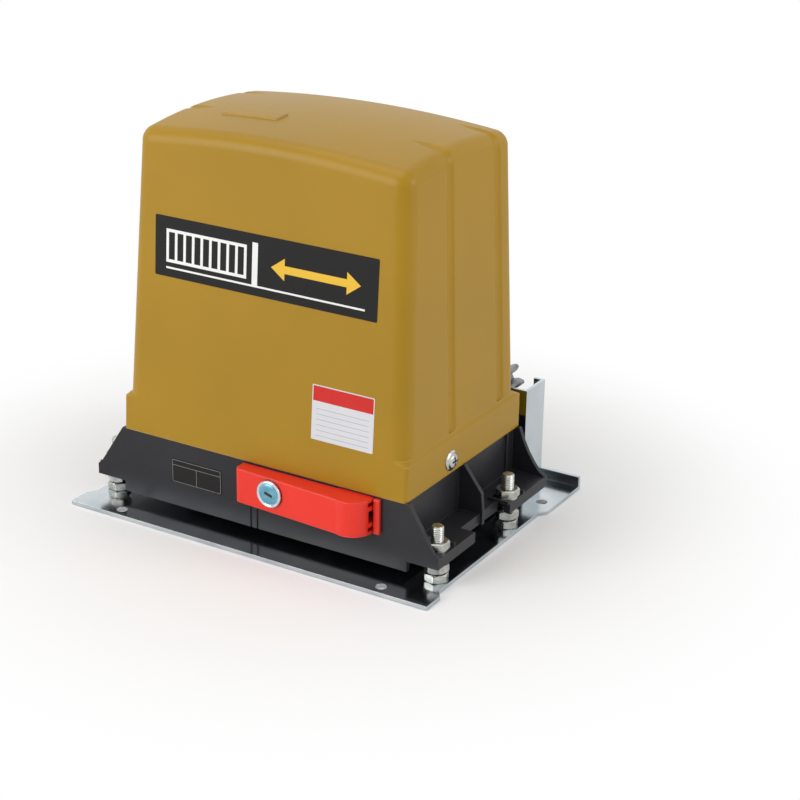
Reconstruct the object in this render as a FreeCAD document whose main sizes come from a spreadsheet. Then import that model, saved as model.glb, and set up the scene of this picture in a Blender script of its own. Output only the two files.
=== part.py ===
import FreeCAD, Part
import os
import math
from FreeCAD import Vector, Rotation, Placement

os.makedirs("parts", exist_ok=True)
doc = FreeCAD.newDocument("sliding_gate_motor")

# Driving sizes in millimetres. X is the width, the front faces -Y and Z is up.
SIZES = {
    # Base plate
    "plate_width": 330, "plate_depth": 249, "plate_thick": 3, "plate_lip_height": 11.5,
    "plate_waist": 5, "waist_front": -98, "waist_rear": 60, "waist_run": 7,
    "anchor_front_x": 121, "anchor_front_y": -115.5, "anchor_rear_x": 153, "anchor_rear_y": 79.5,
    "anchor_radius": 4.5, "cable_hole_radius": 19, "cable_x": -8, "cable_y": 46,
    # Studs, nuts and washers
    "stud_x": 149, "stud_front_y": -83, "stud_rear_y": 26.5, "stud_radius": 4, "stud_top": 47.2,
    "nut_across": 13, "nut_height": 6.5, "washer_radius": 8, "washer_thick": 1.5,
    # Base housing
    "foot_underside": 18.6, "foot_thick": 8.8, "foot_front_x": 158.5, "foot_mid_x": 146, "foot_rear_x": 157,
    "foot_front_end": -42, "foot_rear_start": 16.5, "slot_length": 22, "slot_width": 9,
    "rim_height": 2.6, "rim_inward": 10.3, "rim_outward": 8, "rim_half_y": 13.5, "rim_wall": 2,
    "housing_bottom": 10, "housing_top": 65, "housing_front": -97.2, "housing_rear": 78.2,
    "housing_half_x": 127, "housing_wall": 4, "front_half_x": 131.5, "gusset_thick": 3.5,
    "gusset_mid_y": -11,
    "spigot_gap": 0.6, "spigot_wall": 2.5, "spigot_foot": 55, "spigot_top": 72, "lug_top": 84,
    # Cover moulding
    "cover_half_x": 130, "cover_front": -97.4, "cover_rear": 80, "cover_wall": 3.4, "roof_thick": 8,
    "skirt_height": 30.5,
    "ledge_height": 3.2, "body_half_x": 128.2, "body_rear": 75.5, "crown_half_x": 119.7,
    "crown_front": -82.4,
    "crown_rear": 70.4, "crown_level": 302, "cover_ceiling": 340, "body_corner": 12.5, "skirt_corner": 3,
    "skirt_inner_corner": 1,
    "roof_peak": 319, "roof_peak_y": -7, "roof_arc_depth": 465, "roof_arc_width": 1008,
    "roof_edge_round": 12,
    "crease_radius": 9, "crease_depth": 2, "crease_fade": 30, "crease_front_y": -27.4,
    "crease_front_top": -25.6,
    "crease_rear_y": 48.3, "crease_rear_top": 44.6,
    "pad_length": 50, "pad_width": 15, "pad_rise": 1.2, "pad_x": -46, "pad_y": -32,
    "side_screw_y": -31.6, "side_screw_z": 75.6, "screw_radius": 2.5, "screw_head_radius": 7,
    "screw_head": 4,
    # Output line
    "shaft_x": 87, "shaft_z": 82, "shaft_radius": 8.5, "shaft_front": -12, "shaft_rear": 115,
    "bearing_radius": 17.5, "bearing_width": 10, "running_gap": 0.05,
    "boss_radius": 24, "boss_front": 69, "boss_rear": 82, "notch_gap": 0.6,
    # Drive pinion
    "pinion_module": 4, "pinion_teeth": 12, "pinion_front": 93.5, "pinion_width": 22, "pinion_phase": 10.3,
    # Worm stage
    "stage_module": 2, "wheel_teeth": 24, "wheel_mid_y": 35, "wheel_width": 8, "worm_pitch_radius": 9,
    "thread_relief": 0.46, "case_wall": 4.5, "wheel_hub_radius": 14,
    # Dog clutch and release
    "clutch_front": 8.5, "clutch_rear": 19.5, "dog_length": 5, "clutch_radius": 14.5, "groove_radius": 11.5,
    "groove_front": 12, "groove_width": 4, "fork_gap": 0.3, "dog_angle": 40, "release_travel": 6,
    "rod_radius": 3, "rod_z": 49.5, "key_width": 5,
    # Release handle
    "hinge_y": -100.7, "barrel_radius": 16, "niche_gap": 0.5, "niche_wall": 3, "handle_bottom": 35.5,
    "handle_top": 63.5, "handle_end_x": -14, "handle_back": -97.8, "handle_end_depth": 12, "pin_radius": 3,
    "cam_low": 7, "cam_bottom": 44.5, "cam_top": 54.5, "cam_gap": 0.6,
    "lock_x": 20, "lock_z": 51.5, "lock_head_radius": 10.8, "lock_body_radius": 8, "plug_radius": 7.4,
    # Pinion guard
    "guard_left": 43, "guard_right": 130.5, "guard_front": 89.6, "guard_rear": 121, "guard_top": 90.6,
    "guard_sheet": 2.5, "guard_return": 9,
    # Motor
    "motor_radius": 30, "motor_bottom": 122, "motor_length": 100, "motor_wall": 3, "case_top": 116,
    # Battery and electronics
    "battery_gap": 7, "battery_width": 65, "battery_front": -83, "battery_depth": 151,
    "battery_height": 94, "pad_thick": 2, "strap_thick": 1.5, "strap_width": 22,
    "board_left": -44, "board_width": 108, "board_bottom": 96, "board_height": 150, "board_thick": 1.6,
    "bracket_y": -58, "bracket_sheet": 2, "spacer_length": 7,
}

sheet = doc.addObject("Spreadsheet::Sheet", "Sizes")
for row, (alias, number) in enumerate(SIZES.items(), start=1):
    sheet.set("A%d" % row, alias)
    sheet.set("B%d" % row, str(number))
    sheet.setAlias("B%d" % row, alias)
doc.recompute()


def size(alias):
    """The number that the sheet holds under an alias."""
    return float(sheet.get(alias))


def bind(item, prop, value):
    """Drive a property from the sheet when the value is an expression, else set the number."""
    if isinstance(value, str):
        item.setExpression(prop, value)
    else:
        item.setExpression(prop, repr(float(value)))


def place(item, base, axis="Z"):
    """Put an item at a base point with its own Z turned to the named axis."""
    turns = {"Z": Rotation(), "Y": Rotation(Vector(1, 0, 0), -90), "X": Rotation(Vector(0, 1, 0), 90)}
    item.Placement = Placement(Vector(0, 0, 0), turns[axis])
    for letter, value in zip("xyz", base):
        bind(item, "Placement.Base." + letter, value)


def box(name, start, lengths):
    """A box from its lowest corner and its three lengths."""
    item = doc.addObject("Part::Box", name)
    for prop, value in zip(("Length", "Width", "Height"), lengths):
        bind(item, prop, value)
    place(item, start)
    return item


def rod(name, radius, length, start, axis="Z"):
    """A round bar from its start point along an axis."""
    item = doc.addObject("Part::Cylinder", name)
    bind(item, "Radius", radius)
    bind(item, "Height", length)
    place(item, start, axis)
    return item


def hexagon(name, across, length, start, axis="Z"):
    """A hexagonal bar given the distance across its flats."""
    item = doc.addObject("Part::Prism", name)
    item.Polygon = 6
    bind(item, "Circumradius", across)
    bind(item, "Height", length)
    place(item, start, axis)
    return item


def joined(name, items):
    """One solid, or one group of solids, from several."""
    item = doc.addObject("Part::MultiFuse", name)
    item.Shapes = items
    item.Refine = True
    return item


def carved(name, base, tools):
    """The base with every tool taken away."""
    item = doc.addObject("Part::Cut", name)
    item.Base = base
    item.Tool = tools[0] if len(tools) == 1 else joined(name + "_tools", tools)
    item.Refine = True
    return item


def grouped(name, items):
    """Separate pieces of one kind kept in a single node."""
    item = doc.addObject("Part::Compound", name)
    item.Links = items
    return item


def origin_plane(body, role):
    """One of the body's own origin planes, found by its role."""
    for feature in body.Origin.OriginFeatures:
        if feature.Role == role:
            return feature
    raise ValueError(role)


def sketch_on(body, name, role, offset=0.0):
    """A sketch on an origin plane, moved along the plane's normal."""
    sketch = body.newObject("Sketcher::SketchObject", name)
    sketch.AttachmentSupport = [(origin_plane(body, role), "")]
    sketch.MapMode = "FlatFace"
    sketch.AttachmentOffset = Placement(Vector(0, 0, offset), Rotation())
    return sketch


def draw_loop(sketch, points):
    """A closed loop of straight lines through the points."""
    for start, end in zip(points, points[1:] + points[:1]):
        sketch.addGeometry(Part.LineSegment(Vector(start[0], start[1], 0), Vector(end[0], end[1], 0)))


def extruded(name, role, points, offset, length):
    """A body padded from one closed loop; the length may be an expression."""
    body = doc.addObject("PartDesign::Body", name)
    sketch = sketch_on(body, name + "_outline", role, offset)
    draw_loop(sketch, points)
    pad = body.newObject("PartDesign::Pad", name + "_pad")
    pad.Profile = sketch
    bind(pad, "Length", length)
    return body


made = {}


def keep(name, item):
    """Name a finished piece; the name is also its file and its node."""
    item.Label = name
    made[name] = item
    return item


def mirrored_pair(points):
    """An outline drawn for +X together with its reflection, joined left to right."""
    return points + [(-x, z) for x, z in reversed(points)]


SIDES = (-1, 1)
stud_points = [(side * size("stud_x"), size(row))
               for row in ("stud_front_y", "stud_rear_y") for side in SIDES]
foot_top = size("foot_underside") + size("foot_thick")

# Base plate: flat sheet, waisted at the sides, with a turned-up lip along the rear edge.
half_width = size("plate_width") / 2
half_depth = size("plate_depth") / 2
waist_x = half_width - size("plate_waist")
plate_side = [
    (half_width, -half_depth), (half_width, size("waist_front") - size("waist_run")),
    (waist_x, size("waist_front")), (waist_x, size("waist_rear")),
    (half_width, size("waist_rear") + size("waist_run")), (half_width, half_depth),
]
plate_sheet = extruded("plate_sheet", "XY_Plane", mirrored_pair(plate_side), 0, "Sizes.plate_thick")
plate_lip = box("plate_lip", ("-Sizes.plate_width / 2", "Sizes.plate_depth / 2 - Sizes.plate_thick", 0),
                ("Sizes.plate_width", "Sizes.plate_thick", "Sizes.plate_lip_height"))
plate_holes = []
for side in SIDES:
    for row, x_name, y_name in (("front", "anchor_front_x", "anchor_front_y"),
                                ("rear", "anchor_rear_x", "anchor_rear_y")):
        plate_holes.append(rod("anchor_%s_%d" % (row, side), "Sizes.anchor_radius", "3 * Sizes.plate_thick",
                               ("%d * Sizes.%s" % (side, x_name), "Sizes." + y_name, "-Sizes.plate_thick")))
for index, (x, y) in enumerate(stud_points):
    plate_holes.append(rod("stud_seat_%d" % index, "Sizes.stud_radius", "3 * Sizes.plate_thick",
                           (x, y, "-Sizes.plate_thick")))
plate_holes.append(rod("plate_cable_hole", "Sizes.cable_hole_radius", "3 * Sizes.plate_thick",
                       ("Sizes.cable_x", "Sizes.cable_y", "-Sizes.plate_thick")))
keep("base_plate", carved("plate_cut", joined("plate_blank", [plate_sheet, plate_lip]), plate_holes))

# Studs stand in the plate; nuts and washers hold the housing feet at a set height on them.
studs = [rod("stud_%d" % index, "Sizes.stud_radius", "Sizes.stud_top", (x, y, 0))
         for index, (x, y) in enumerate(stud_points)]
keep("mounting_studs", grouped("studs", studs))


def ring(name, outer, inner, height, base):
    """A flat ring, such as a washer or a nut blank already bored."""
    solid = rod(name + "_disc", outer, height, base)
    hole = rod(name + "_bore", inner, height, base)
    return carved(name, solid, [hole])


def nut_on(name, x, y, z):
    """A hexagon nut bored to the stud."""
    solid = hexagon(name + "_hex", "Sizes.nut_across / 2 / cos(30)", "Sizes.nut_height", (x, y, z))
    return carved(name, solid, [rod(name + "_bore", "Sizes.stud_radius", "Sizes.nut_height", (x, y, z))])


seat_nuts = []
level_nuts = []
clamp_nuts = []
washers = []
for index, (x, y) in enumerate(stud_points):
    seat_nuts.append(nut_on("seat_nut_%d" % index, x, y, "Sizes.plate_thick"))
    level_nuts.append(nut_on("level_nut_%d" % index, x, y,
                             "Sizes.foot_underside - Sizes.washer_thick - Sizes.nut_height"))
    washers.append(ring("under_washer_%d" % index, "Sizes.washer_radius", "Sizes.stud_radius",
                        "Sizes.washer_thick",
                        (x, y, "Sizes.foot_underside - Sizes.washer_thick")))
    washers.append(ring("upper_washer_%d" % index, "Sizes.washer_radius", "Sizes.stud_radius",
                        "Sizes.washer_thick",
                        (x, y, "Sizes.foot_underside + Sizes.foot_thick")))
    clamp_nuts.append(nut_on("clamp_nut_%d" % index, x, y,
                             "Sizes.foot_underside + Sizes.foot_thick + Sizes.washer_thick"))
keep("seat_nuts", grouped("seat_nut_set", seat_nuts))
keep("levelling_nuts", grouped("level_nut_set", level_nuts))
keep("foot_washers", grouped("washer_set", washers))
keep("clamp_nuts", grouped("clamp_nut_set", clamp_nuts))

# Base housing: a moulded tub with flared end walls, foot pads, slots and an upstanding spigot.
top_z = size("housing_top")
foot_z = size("foot_underside")
flare_front = [
    (size("front_half_x"), size("housing_bottom")), (size("front_half_x"), foot_z),
    (size("foot_front_x"), foot_z), (size("foot_front_x"), foot_top), (154, 31.5),
    (size("front_half_x") + 0.6, top_z),
]
flare_rear = [
    (size("housing_half_x"), size("housing_bottom")), (size("housing_half_x"), foot_z),
    (size("foot_rear_x"), foot_z),
    (size("foot_rear_x"), foot_top), (151.5, 31), (146.5, 37), (141, 45.5), (136.8, 54), (132.6, top_z),
]
gusset = [(size("housing_half_x") - 1, foot_z), (148.5, foot_z), (148.5, 30), (147, 44.5), (131.5, top_z),
          (size("housing_half_x") - 1, top_z)]
front_wall = extruded("front_wall", "XZ_Plane", mirrored_pair(flare_front), -size("housing_front"),
                      "Sizes.housing_wall")
front_wall.Tip.Reversed = True
rear_wall = extruded("rear_wall", "XZ_Plane", mirrored_pair(flare_rear), -size("housing_rear"),
                     "Sizes.gusset_thick")
housing_solids = [front_wall, rear_wall]
housing_depth = "(Sizes.housing_rear - Sizes.housing_front)"
housing_solids.append(box("tub_block", ("-Sizes.housing_half_x", "Sizes.housing_front",
                                        "Sizes.housing_bottom"),
                          ("2 * Sizes.housing_half_x", housing_depth,
                           "Sizes.housing_top - Sizes.housing_bottom")))
for side in SIDES:
    outline = [(side * x, z) for x, z in gusset]
    housing_solids.append(extruded("mid_gusset_%d" % side, "XZ_Plane", outline,
                                   -(size("gusset_mid_y") + size("gusset_thick") / 2),
                                   "Sizes.gusset_thick"))
    inner = size("housing_half_x") - 1
    pads = (("front", "housing_front", "foot_front_end", "foot_front_x"),
            ("mid", "foot_front_end", "foot_rear_start", "foot_mid_x"),
            ("rear", "foot_rear_start", "housing_rear", "foot_rear_x"))
    for row, y_from, y_to, reach in pads:
        left = inner if side > 0 else -size(reach)
        housing_solids.append(box("pad_%s_%d" % (row, side),
                                  (left, "Sizes." + y_from, "Sizes.foot_underside"),
                                  ("Sizes.%s - %g" % (reach, inner), "Sizes.%s - Sizes.%s" % (y_to, y_from),
                                   "Sizes.foot_thick")))
    rib_left = inner if side > 0 else -inner - 3
    housing_solids.append(box("side_rib_%d" % side, (rib_left, 61, "Sizes.foot_underside"),
                              (3, 2.5, top_z - foot_z)))
for index, (x, y) in enumerate(stud_points):
    rim_left = x - (size("rim_inward") if x > 0 else size("rim_outward"))
    housing_solids.append(box("slot_rim_%d" % index, (rim_left, y - size("rim_half_y"), foot_top),
                              ("Sizes.rim_inward + Sizes.rim_outward", "2 * Sizes.rim_half_y",
                               "Sizes.rim_height")))
wall_and_gap = size("cover_wall") + size("spigot_gap")
spigot_half = size("cover_half_x") - wall_and_gap
spigot_front = size("cover_front") + wall_and_gap
spigot_depth = size("cover_rear") - wall_and_gap - spigot_front
boss_height = size("shaft_z") - size("housing_bottom")
housing_solids += [
    box("boss_leg", ("Sizes.shaft_x - Sizes.boss_radius", "Sizes.boss_front", "Sizes.housing_bottom"),
        ("2 * Sizes.boss_radius", "Sizes.boss_rear - Sizes.boss_front", boss_height)),
    rod("boss_round", "Sizes.boss_radius", "Sizes.boss_rear - Sizes.boss_front",
        ("Sizes.shaft_x", "Sizes.boss_front", "Sizes.shaft_z"), "Y"),
]
tub_tools = [box("tub_hollow", ("-Sizes.housing_half_x + Sizes.housing_wall",
                                "Sizes.housing_front + Sizes.housing_wall",
                                "Sizes.housing_bottom + Sizes.housing_wall"),
                 ("2 * (Sizes.housing_half_x - Sizes.housing_wall)",
                  housing_depth + " - 2 * Sizes.housing_wall",
                  "Sizes.housing_top"))]
for index, (x, y) in enumerate(stud_points):
    if x > 0:
        hollow_left = x - size("rim_inward") + size("rim_wall")
    else:
        hollow_left = x - size("rim_outward") - size("rim_wall")
    tub_tools.append(box("rim_hollow_%d" % index,
                         (hollow_left, y - size("rim_half_y") + size("rim_wall"), foot_top),
                         ("Sizes.rim_inward + Sizes.rim_outward", "2 * (Sizes.rim_half_y - Sizes.rim_wall)",
                          "Sizes.rim_height + 8")))
    straight = size("slot_length") - size("slot_width")
    tub_tools.append(box("slot_straight_%d" % index,
                         (x - size("slot_width") / 2, y - straight / 2, foot_z - 5),
                         ("Sizes.slot_width", straight, "Sizes.foot_thick + 10")))
    for end in SIDES:
        tub_tools.append(rod("slot_end_%d_%d" % (index, end), "Sizes.slot_width / 2",
                             "Sizes.foot_thick + 10",
                             (x, y + end * straight / 2, foot_z - 5)))
for offset in (-9, -3):
    tub_tools.append(box("front_flute_%d" % offset,
                         (offset, "Sizes.housing_front - 1", "Sizes.housing_bottom - 1"),
                         (1.6, 2, 24)))
tub_shell = carved("tub_shell", joined("tub_blank", housing_solids), tub_tools)

spigot_outer = box("spigot_outer", (-spigot_half, spigot_front, "Sizes.spigot_foot"),
                   (2 * spigot_half, spigot_depth, "Sizes.spigot_top - Sizes.spigot_foot"))
lugs = [box("spigot_lug_%d" % side,
            (spigot_half - 7 if side > 0 else -spigot_half, "Sizes.side_screw_y - 11",
             "Sizes.spigot_foot"), (7, 22, "Sizes.lug_top - Sizes.spigot_foot")) for side in SIDES]
spigot_wall = size("spigot_wall")
spigot_inner = box("spigot_inner", (spigot_wall - spigot_half, spigot_front + spigot_wall,
                                    "Sizes.spigot_foot - 1"),
                   (2 * (spigot_half - spigot_wall), spigot_depth - 2 * spigot_wall, "Sizes.spigot_top"))
spigot_ring = carved("spigot_ring", spigot_outer, [spigot_inner])
hinge_x = "Sizes.shaft_x"
niche_solid = rod("niche_solid", "Sizes.barrel_radius + Sizes.niche_gap + Sizes.niche_wall",
                  "Sizes.housing_top - 32", (hinge_x, "Sizes.hinge_y", 32))
niche_trim = box("niche_trim", ("Sizes.shaft_x - 25", "Sizes.housing_front - 30", 20), (50, 30, 60))
niche_block = carved("niche_block", niche_solid, [niche_trim])
housing_tools = [
    rod("niche_hollow", "Sizes.barrel_radius + Sizes.niche_gap",
        "Sizes.handle_top - Sizes.handle_bottom + 1",
        (hinge_x, "Sizes.hinge_y", "Sizes.handle_bottom - 0.5")),
    rod("rod_guide_hole", "Sizes.rod_radius + Sizes.running_gap", 12, (hinge_x, -90, "Sizes.rod_z"), "Y"),
    box("lock_window", ("Sizes.lock_x - 15", "Sizes.housing_front - 1", "Sizes.lock_z - 10"), (27, 8, 20)),
    rod("rear_bearing_seat", "Sizes.bearing_radius", "Sizes.bearing_width + 2",
        (hinge_x, "Sizes.boss_front - 1", "Sizes.shaft_z"), "Y"),
    rod("rear_shaft_hole", "Sizes.shaft_radius + 5", 30,
        (hinge_x, "Sizes.boss_front - 5", "Sizes.shaft_z"), "Y"),
    rod("cable_hole", "Sizes.cable_hole_radius - 4", 12,
        ("Sizes.cable_x", "Sizes.cable_y", "Sizes.housing_bottom - 2")),
]
for side in SIDES:
    start_x = spigot_half - 9 if side > 0 else -spigot_half - 1
    housing_tools.append(rod("side_screw_hole_%d" % side, "Sizes.screw_radius", 10,
                             (start_x, "Sizes.side_screw_y", "Sizes.side_screw_z"), "X"))
housing_body = carved("housing_body", joined("housing_blank", [tub_shell, spigot_ring, niche_block] + lugs),
                      housing_tools)

# Two ears stand in the niche and carry the hinge pin inside slots of the handle barrel.
ear_levels = (38.2, 58.2)
ear_thick = 2.6
ears = []
for index, level in enumerate(ear_levels):
    ears.append(box("ear_bar_%d" % index, ("Sizes.shaft_x - 3.6", "Sizes.hinge_y", level),
                    (7.2, 19, ear_thick)))
    ears.append(rod("ear_eye_%d" % index, "Sizes.pin_radius + 2.2", ear_thick,
                    (hinge_x, "Sizes.hinge_y", level)))
ear_holes = [rod("ear_hole", "Sizes.pin_radius", 40, (hinge_x, "Sizes.hinge_y", 30))]
keep("base_housing", joined("housing_all", [housing_body, carved("ear_set", joined("ear_blank", ears),
                                                                 ear_holes)]))

# Cover moulding: stepped skirt, drafted body, double-curved roof and two soft creases on each side.
skirt_top = size("housing_top") + size("skirt_height")
body_height = size("crown_level") - skirt_top
side_draft = (size("body_half_x") - size("crown_half_x")) / body_height
front_draft = (size("crown_front") - size("cover_front")) / (size("crown_level") - size("housing_top"))
rear_draft = (size("body_rear") - size("crown_rear")) / body_height


def body_half_at(z):
    """Half width of the drafted body at a height."""
    return size("body_half_x") - side_draft * (z - skirt_top)


def front_at(z):
    """Y of the sloping front face at a height."""
    return size("cover_front") + front_draft * (z - size("housing_top"))


def rear_at(z):
    """Y of the rear face of the drafted body at a height."""
    return size("body_rear") - rear_draft * (z - skirt_top)


def roof_at(x, y):
    """Height of the double-curved roof above a point of the plan."""
    along = (y - size("roof_peak_y")) ** 2 / (2 * size("roof_arc_depth"))
    across = x ** 2 / (2 * size("roof_arc_width"))
    return size("roof_peak") - along - across


def round_rectangle(sketch, half_x, front, rear, radius):
    """A rectangle with rounded corners, centred on X."""
    corners = ((half_x, rear, 0), (-half_x, rear, 90), (-half_x, front, 180), (half_x, front, 270))
    ends = []
    for x, y, turn in corners:
        centre = Vector(x - math.copysign(radius, x), y - (radius if y == rear else -radius), 0)
        first = math.radians(turn)
        last = math.radians(turn + 90)
        sketch.addGeometry(Part.ArcOfCircle(Part.Circle(centre, Vector(0, 0, 1), radius), first, last))
        ends.append((centre + Vector(math.cos(first), math.sin(first), 0) * radius,
                     centre + Vector(math.cos(last), math.sin(last), 0) * radius))
    for index in range(4):
        sketch.addGeometry(Part.LineSegment(ends[index][1], ends[(index + 1) % 4][0]))


def section(body, name, z, half_x, front, rear, radius):
    """One level of the cover as a sketch."""
    sketch = sketch_on(body, name, "XY_Plane", z)
    round_rectangle(sketch, half_x, front, rear, radius)
    return sketch


def lofted(body, name, sections):
    """A straight-sided loft through the sections in order."""
    loft = body.newObject("PartDesign::AdditiveLoft", name)
    loft.Profile = sections[0]
    loft.Sections = sections[1:]
    loft.Ruled = True
    return loft


def trim_to_roof(body, name, drop):
    """Take away all that stands above the roof, lowered by a drop."""
    peak = size("roof_peak") - drop
    depth_radius = size("roof_arc_depth") - drop
    axis_z = peak - size("roof_arc_width") + drop
    sketch = sketch_on(body, name + "_outline", "YZ_Plane")
    reach = 160.0
    edge_z = peak - depth_radius + math.sqrt(depth_radius ** 2 - reach ** 2)
    peak_y = size("roof_peak_y")
    ceiling = size("cover_ceiling") + 40
    arc = Part.Arc(Vector(peak_y - reach, edge_z, 0), Vector(peak_y, peak, 0),
                   Vector(peak_y + reach, edge_z, 0))
    sketch.addGeometry(arc)
    corners = [(peak_y + reach, edge_z), (peak_y + reach, ceiling), (peak_y - reach, ceiling),
               (peak_y - reach, edge_z)]
    for start, end in zip(corners, corners[1:]):
        sketch.addGeometry(Part.LineSegment(Vector(start[0], start[1], 0), Vector(end[0], end[1], 0)))
    sketch.addGeometry(Part.LineSegment(Vector(-200, axis_z, 0), Vector(200, axis_z, 0)), True)
    groove = body.newObject("PartDesign::Groove", name)
    groove.Profile = sketch
    groove.ReferenceAxis = (sketch, ["Axis0"])
    groove.Angle = 16
    groove.Midplane = True
    return groove


def cover_block(name, inset, drop):
    """The solid outline of the cover, its walls drawn in by an inset and its roof lowered by a drop."""
    body = doc.addObject("PartDesign::Body", name)
    low = size("housing_top")
    shoulder = skirt_top - size("ledge_height")
    ceiling = size("cover_ceiling")
    corner = size("skirt_inner_corner") if inset else size("skirt_corner")
    crown = size("body_corner") - inset
    skirt_half = size("cover_half_x") - inset
    rear = size("cover_rear") - inset
    levels = [
        section(body, name + "_hem", low, skirt_half, front_at(low) + inset, rear, corner),
        section(body, name + "_shoulder", shoulder, skirt_half, front_at(shoulder) + inset, rear, corner),
        section(body, name + "_ledge", skirt_top, body_half_at(skirt_top) - inset,
                front_at(skirt_top) + inset,
                rear_at(skirt_top) - inset, crown),
        section(body, name + "_ceiling", ceiling, body_half_at(ceiling) - inset, front_at(ceiling) + inset,
                rear_at(ceiling) - inset, crown),
    ]
    lofted(body, name + "_walls", levels)
    trim_to_roof(body, name + "_roof", drop)
    return body


def round_roof_edge(body, name):
    """Round the whole rim where the walls meet the roof."""
    doc.recompute()
    last = body.Tip
    low = size("crown_level") - 25
    rims = ["Edge%d" % (number + 1) for number,
            edge in enumerate(last.Shape.Edges) if edge.BoundBox.ZMin > low]
    rounding = body.newObject("PartDesign::Fillet", name)
    rounding.Base = (last, rims)
    bind(rounding, "Radius", "Sizes.roof_edge_round")


def crease(body, name, side, low_y, high_y):
    """A soft round channel up one side and over the shoulder, fading out on the roof."""
    slope = (high_y - low_y) / body_height
    lean = math.atan(slope)
    base_y = low_y - skirt_top * slope
    start_z = skirt_top + 1
    outward = size("crease_radius") - size("crease_depth")
    bend = size("roof_edge_round") + outward
    turn_x = body_half_at(size("crown_level")) - size("roof_edge_round")
    roof_z = roof_at(turn_x, high_y)
    centre_z = roof_z + outward - bend
    start = Vector(side * (body_half_at(start_z) + outward), start_z, 0)
    knee = Vector(side * (turn_x + bend), centre_z, 0)
    over = Vector(side * turn_x, centre_z + bend, 0)
    middle = Vector(side * (turn_x + bend * math.cos(math.pi / 4)),
                    centre_z + bend * math.sin(math.pi / 4), 0)
    fade_x = turn_x - size("crease_fade")
    fade = Vector(side * fade_x, roof_at(fade_x, high_y) + size("crease_radius") + 1, 0)
    spine = sketch_on(body, name + "_spine", "XZ_Plane")
    spine.AttachmentOffset = Placement(Vector(0, 0, -base_y),
                                       Rotation(Vector(1, 0, 0), -math.degrees(lean)))
    spine.addGeometry(Part.LineSegment(start, knee))
    spine.addGeometry(Part.Arc(knee, middle, over))
    spine.addGeometry(Part.LineSegment(over, fade))
    ring_sketch = sketch_on(body, name + "_ring", "XY_Plane", start_z * math.cos(lean))
    centre = Vector(start.x, base_y + start_z * math.sin(lean), 0)
    ring_sketch.addGeometry(Part.Circle(centre, Vector(0, 0, 1), size("crease_radius")))
    channel = body.newObject("PartDesign::SubtractivePipe", name)
    channel.Profile = ring_sketch
    channel.Spine = spine
    return channel


cover_outer = cover_block("cover_outer", 0, 0)
round_roof_edge(cover_outer, "roof_edge")
for side in SIDES:
    crease(cover_outer, "crease_front_%d" % (side + 1), side, size("crease_front_y"),
           size("crease_front_top"))
    crease(cover_outer, "crease_rear_%d" % (side + 1), side, size("crease_rear_y"), size("crease_rear_top"))
cover_core = cover_block("cover_core", size("cover_wall"), size("roof_thick"))
pad_left = size("pad_x") - size("pad_length") / 2
pad_front = size("pad_y") - size("pad_width") / 2
roof_pad = extruded("roof_pad", "XY_Plane",
                    [(pad_left, pad_front), (pad_left + size("pad_length"), pad_front),
                     (pad_left + size("pad_length"), pad_front + size("pad_width")),
                     (pad_left, pad_front + size("pad_width"))], size("crown_level") + 4, 40)
trim_to_roof(roof_pad, "roof_pad_top", -size("pad_rise"))
cover_tools = [
    cover_core,
    box("notch_leg", ("Sizes.shaft_x - Sizes.boss_radius - Sizes.notch_gap", 40, "Sizes.housing_top - 1"),
        ("2 * (Sizes.boss_radius + Sizes.notch_gap)", 60, "Sizes.shaft_z - Sizes.housing_top + 1")),
    rod("notch_round", "Sizes.boss_radius + Sizes.notch_gap", 60, ("Sizes.shaft_x", 40, "Sizes.shaft_z"),
        "Y"),
]
for side in SIDES:
    start_x = 110 if side > 0 else -140
    cover_tools.append(rod("cover_screw_hole_%d" % side, "Sizes.screw_radius", 30,
                           (start_x, "Sizes.side_screw_y", "Sizes.side_screw_z"), "X"))
keep("cover_shell", carved("cover_cut", joined("cover_blank", [cover_outer, roof_pad]), cover_tools))

# Side screws hold the cover to the lugs of the spigot.
screws = []
for side in SIDES:
    head_x = size("cover_half_x") if side > 0 else -size("cover_half_x") - size("screw_head")
    length = wall_and_gap + 6
    tip_x = size("cover_half_x") - length if side > 0 else -size("cover_half_x")
    shank = rod("side_shank_%d" % side, "Sizes.screw_radius", length,
                (tip_x, "Sizes.side_screw_y", "Sizes.side_screw_z"), "X")
    flange_x = head_x if side > 0 else head_x + size("screw_head") - 1.4
    flange = rod("side_flange_%d" % side, "Sizes.screw_head_radius + 1.2", 1.4,
                 (flange_x, "Sizes.side_screw_y", "Sizes.side_screw_z"), "X")
    head = rod("side_head_%d" % side, "Sizes.screw_head_radius - 1", "Sizes.screw_head",
               (head_x, "Sizes.side_screw_y", "Sizes.side_screw_z"), "X")
    screws.append(joined("side_screw_%d" % side, [shank, flange, head]))
keep("cover_screws", grouped("cover_screw_set", screws))


# Cable grommet: rubber ring lining the cable hole of the housing floor, down to the plate.
grommet_outer = rod("grommet_outer", "Sizes.cable_hole_radius - 4", 7,
                    ("Sizes.cable_x", "Sizes.cable_y", 9))
grommet_flange = rod("grommet_flange", "Sizes.cable_hole_radius - 1", 7,
                     ("Sizes.cable_x", "Sizes.cable_y", "Sizes.plate_thick"))
grommet_bore = rod("grommet_bore", "Sizes.cable_hole_radius - 7", 20, ("Sizes.cable_x", "Sizes.cable_y", 0))
keep("cable_grommet", carved("grommet_cut", joined("grommet_blank", [grommet_outer, grommet_flange]),
                             [grommet_bore]))

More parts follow.
